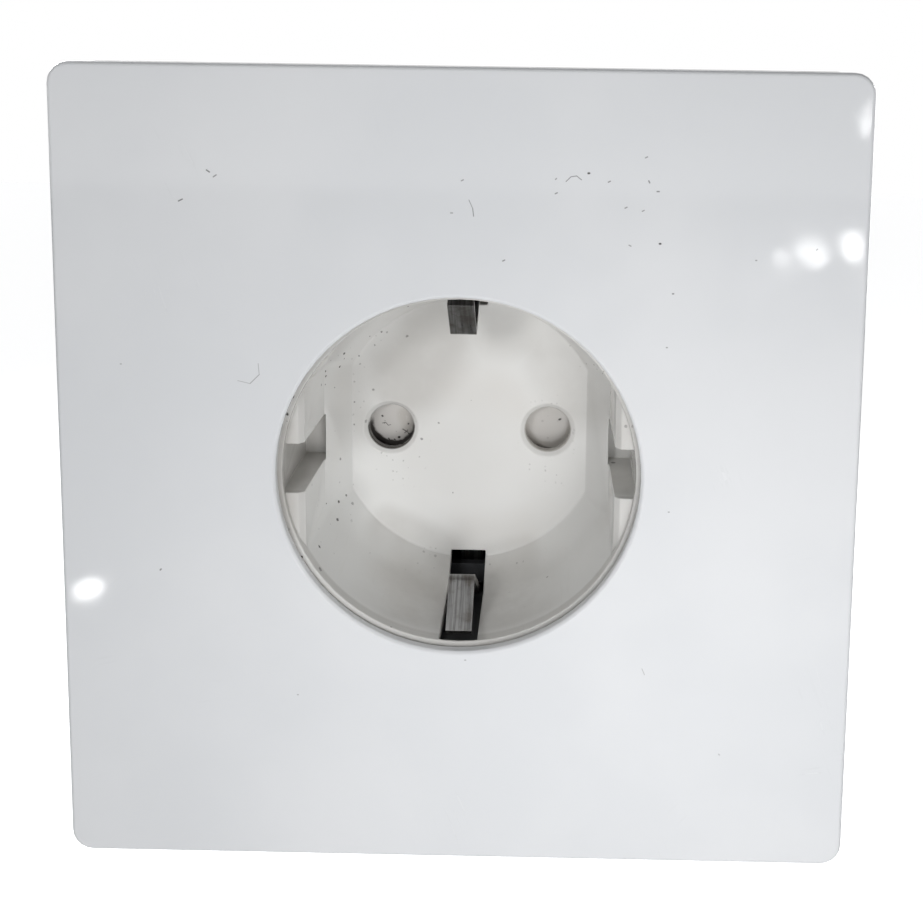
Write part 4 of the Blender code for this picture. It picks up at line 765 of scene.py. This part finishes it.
pitColour = (0.10, 0.09, 0.08)
metalLooks = {                                 # across: how a strip's draw lines are stretched, depth in mm
    "clipSteel": {"base": (0.130, 0.130, 0.128), "bright": (0.420, 0.420, 0.415),
                  "stain": (0.075, 0.060, 0.048), "across": (1.0, 0.035, 0.035),
                  "fineness": 2600.0, "gloss": (0.26, 0.46), "stainShare": 0.55,
                  "wear": 0.9, "depth": 0.006, "lines": 0.52,
                  "filmDepth": (-1.5, 0.5), "filmReach": (16.6, 15.4)},
    "springSteel": {"base": (0.480, 0.480, 0.480), "bright": (0.700, 0.700, 0.700),
                    "stain": (0.230, 0.215, 0.200), "across": (1.0, 0.05, 1.0),
                    "fineness": 4200.0, "gloss": (0.22, 0.36), "stainShare": 0.25,
                    "wear": 0.5, "depth": 0.002, "lines": 0.30},
    "contactBrass": {"base": (0.660, 0.480, 0.215), "bright": (0.860, 0.690, 0.380),
                     "stain": (0.330, 0.200, 0.095), "across": (1.0, 0.04, 1.0),
                     "fineness": 2800.0, "gloss": (0.24, 0.42), "stainShare": 0.45,
                     "wear": 0.8, "depth": 0.004, "lines": 0.35},
    "clampZinc": {"base": (0.560, 0.545, 0.475), "bright": (0.760, 0.750, 0.690),
                  "stain": (0.330, 0.290, 0.200), "across": (1.0, 1.0, 0.06),
                  "fineness": 2400.0, "gloss": (0.26, 0.42), "stainShare": 0.35,
                  "wear": 0.8, "depth": 0.005, "lines": 0.35},
    "screwZinc": {"base": (0.560, 0.560, 0.540), "bright": (0.780, 0.780, 0.760),
                  "stain": (0.300, 0.275, 0.220), "across": (1.0, 1.0, 1.0),
                  "fineness": 2600.0, "gloss": (0.22, 0.38), "stainShare": 0.35,
                  "wear": 0.9, "depth": 0.004, "lines": 0.30},
}


def makeMetal(name, shared):
    look = metalLooks[name]
    material, tree, sockets, place = startMaterial(name, metallic=1.0)
    strip = {"Vector": place, "Across": look["across"], "Fineness": look["fineness"]}
    metal = useGroup(tree, shared["rolledMetal"], strip)
    drawn = remap(tree, metal["Lines"], 0.34, 0.68, 0.0, look["lines"])
    colour = blend(tree, drawn, look["base"], look["bright"])
    colour = blend(tree, times(tree, metal["Tarnish"], look["stainShare"]), colour, look["stain"])
    colour = blend(tree, times(tree, metal["Pits"], 0.6), colour, pitColour)
    wear = useGroup(tree, shared["edgeWear"], {"Vector": place, "Reach": 0.00022, "Amount": look["wear"]})[0]
    colour = blend(tree, wear, colour, look["bright"])
    if "filmDepth" in look:                    # brown film where the clips turn over, deep in the recess
        axes = addNode(tree, "SeparateXYZ", {0: place}).outputs
        reach = calc(tree, "ABSOLUTE", axes[2])
        deeper = remapLength(tree, axes[1], look["filmDepth"])
        film = times(tree, deeper, remapLength(tree, reach, look["filmReach"]))
        film = times(tree, film, remap(tree, noise(tree, place, 1500.0, 4.0, 0.7), 0.40, 0.62, 0.0, 0.8))
        colour = blend(tree, film, colour, look["stain"])
    plug(tree, colour, sockets["Base Color"])
    rough = remap(tree, metal["Lines"], 0.30, 0.72, *look["gloss"])
    rough = calc(tree, "ADD", rough, times(tree, metal["Tarnish"], 0.14))
    plug(tree, calc(tree, "SUBTRACT", rough, times(tree, wear, 0.10)), sockets["Roughness"])
    height = calc(tree, "SUBTRACT", metal["Lines"], times(tree, metal["Pits"], 1.2))
    addBump(tree, sockets, height, look["depth"])
    return material


def makeMaterials():
    shared = {"mouldedSkin": makeMouldedSkin(), "handlingScratches": makeHandlingScratches(),
              "settledSpecks": makeSettledSpecks(), "lintMark": makeLintMark(), "holeRim": makeHoleRim(),
              "creviceGrimeAndShade": makeCreviceGrimeAndShade(), "edgeWear": makeEdgeWear(),
              "rolledMetal": makeRolledMetal()}
    finishes = {"panelWhite": makePanelWhite(shared), "cupWhite": makeCupWhite(shared),
                "shutterWhite": makeShutterWhite(shared), "guideNatural": makeGuideNatural(shared)}
    finishes.update({name: makeDarkPlastic(name, shared) for name in darkLooks})
    finishes.update({name: makeMetal(name, shared) for name in metalLooks})
    return finishes


# Pieces that keep the shape of their CAD node, welded and with softened edges

softPieces = {                                 # node: piece name, finish, edge width in mm, smoothing angle
    "front_panel": ("frontPanel", "panelWhite", 0.10, 32),
    "mounting_frame": ("carrierFrame", "frameGrey", 0.15, 32),
    "socket_cup": ("socketCup", "cupWhite", 0.12, 32),
    "shutter": ("shutterSlider", "shutterWhite", 0.10, 9),
    "shutter_guide": ("shutterGuide", "guideNatural", 0.10, 32),
    "shutter_spring": ("shutterSpring", "springSteel", 0.0, 75),
    "contact_left": ("lineContact", "contactBrass", 0.06, 38),
    "contact_right": ("neutralContact", "contactBrass", 0.06, 38),
    "contact_spring_left": ("lineContactSpring", "springSteel", 0.05, 38),
    "contact_spring_right": ("neutralContactSpring", "springSteel", 0.05, 38),
    "earth_strap": ("earthStrap", "clipSteel", 0.09, 38),
    "earth_bar": ("earthBar", "contactBrass", 0.07, 38),
    "earth_rivet": ("earthRivet", "clipSteel", 0.08, 38),
    "clamp_left": ("lineClamp", "clampZinc", 0.12, 38),
    "clamp_earth": ("earthClamp", "clampZinc", 0.12, 38),
    "clamp_right": ("neutralClamp", "clampZinc", 0.12, 38),
    "rear_housing": ("rearHousing", "housingGrey", 0.15, 32),
}


def makeSoftPieces(finishes):
    for node, (name, finish, edge, angle) in softPieces.items():
        piece = newPiece(name, mergedShape(node), angle)
        if edge:
            softenEdges(piece, edge, angle)
        finishPiece(piece, node, finishes[finish])
        if node == "shutter_spring":
            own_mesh(piece)


# Screws, with their threads cut

screwKinds = {                                 # mm: head and tip lengths, radii, pitch, and the head's side
    "fixing": {"head": 1.9, "crest": 1.73, "core": 1.22, "pitch": 1.25, "tip": 2.4, "headAt": -1},
    "terminal": {"head": 1.7, "crest": 1.74, "core": 1.38, "pitch": 0.70, "tip": 0.5, "headAt": 1},
    "housing": {"head": 1.6, "crest": 1.24, "core": 0.90, "pitch": 1.00, "tip": 1.8, "headAt": 1},
}

screwPieces = {                                # node: piece name, kind
    "fixing_screw_left": ("fixingScrewLeft", "fixing"),
    "fixing_screw_right": ("fixingScrewRight", "fixing"),
    "terminal_screw_left": ("lineScrew", "terminal"),
    "terminal_screw_earth": ("earthScrew", "terminal"),
    "terminal_screw_right": ("neutralScrew", "terminal"),
    "housing_screw_1": ("housingScrewOne", "housing"),
    "housing_screw_2": ("housingScrewTwo", "housing"),
    "housing_screw_3": ("housingScrewThree", "housing"),
    "housing_screw_4": ("housingScrewFour", "housing"),
}

threadCut = {
    "steps": 28,                               # round one turn
    "tooth": (("core", 0.0), ("core", 0.30), ("crest", 0.52), ("crest", 0.60), ("core", 0.86), ("core", 1.0)),
    "hidden": 0.8,                             # share of a pitch that hides in the head
    "weld": 0.004,                             # mm
    "overlap": 0.02,                           # mm of the CAD shank left under the head
    "edge": 0.05,                              # mm, rounding
}


def addThread(shape, look, x, z, root, end):   # a helix of one tooth's profile, root is under the head
    way = 1 if end > root else -1
    steps, pitch, core = threadCut["steps"], look["pitch"] * mm, look["core"] * mm
    start = root - way * threadCut["hidden"] * pitch
    tipStart = end - way * look["tip"] * mm
    turns = int(abs(tipStart - start) / pitch)
    tooth = [(look[side] * mm, part) for side, part in threadCut["tooth"]]
    verts = [shape.verts.new((x + radius, start + way * pitch * part, z)) for radius, part in tooth]
    edges = [shape.edges.new(pair) for pair in zip(verts, verts[1:])]
    bmesh.ops.spin(shape, geom=verts + edges, cent=(x, 0, z), axis=(0, 1, 0),
                   dvec=(0, way * pitch / steps, 0), angle=2 * math.pi * turns, steps=steps * turns,
                   use_merge=False)
    bmesh.ops.remove_doubles(shape, verts=shape.verts, dist=threadCut["weld"] * mm)
    bmesh.ops.holes_fill(shape, edges=[edge for edge in shape.edges if edge.is_boundary], sides=0)
    tipRoot = start + way * pitch * turns
    bottom = end - tipRoot
    made = bmesh.ops.create_cone(shape, cap_ends=True, segments=steps, radius1=core * 1.001,
                                 radius2=core * 0.55, depth=abs(bottom))["verts"]
    turn = -math.pi / 2 if way > 0 else math.pi / 2
    bmesh.ops.rotate(shape, verts=made, cent=(0, 0, 0), matrix=Matrix.Rotation(turn, 3, "X"))
    bmesh.ops.translate(shape, verts=made, vec=(x, tipRoot + bottom / 2, z))


def makeScrews(finishes):
    for node, (name, kind) in screwPieces.items():
        look = screwKinds[kind]
        side = look["headAt"]
        low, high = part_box(node)
        x, z = (low.x + high.x) / 2, (low.z + high.z) / 2
        headEnd, end = (low.y, high.y) if side < 0 else (high.y, low.y)
        root = headEnd - side * look["head"] * mm
        shape = mergedShape(node)
        cut = (0, root - side * threadCut["overlap"] * mm, 0)
        bmesh.ops.bisect_plane(shape, geom=shape.verts[:] + shape.edges[:] + shape.faces[:], dist=1e-7,
                               plane_co=cut, plane_no=(0, -side, 0), clear_outer=True)
        bmesh.ops.holes_fill(shape, edges=[edge for edge in shape.edges if edge.is_boundary], sides=0)
        thread = bmesh.new()
        addThread(thread, look, x, z, root, end)
        bmesh.ops.recalc_face_normals(thread, faces=thread.faces)
        threadMesh = bpy.data.meshes.new(name + "Thread")
        thread.to_mesh(threadMesh)
        thread.free()
        shape.from_mesh(threadMesh)
        bpy.data.meshes.remove(threadMesh)
        piece = newPiece(name, shape, 32)
        softenEdges(piece, threadCut["edge"], 50, 1)
        finishPiece(piece, node, finishes["screwZinc"])


bpy.context.scene.view_settings.view_transform = "Standard"
makeCamera()
makeWorld()
makeFloor()
makeLamps()
print("camera, stage and lamps ready")
finishes = makeMaterials()
print("materials ready:", len(finishes))
makeSoftPieces(finishes)
makeScrews(finishes)
print("pieces ready:", len(softPieces) + len(screwPieces))
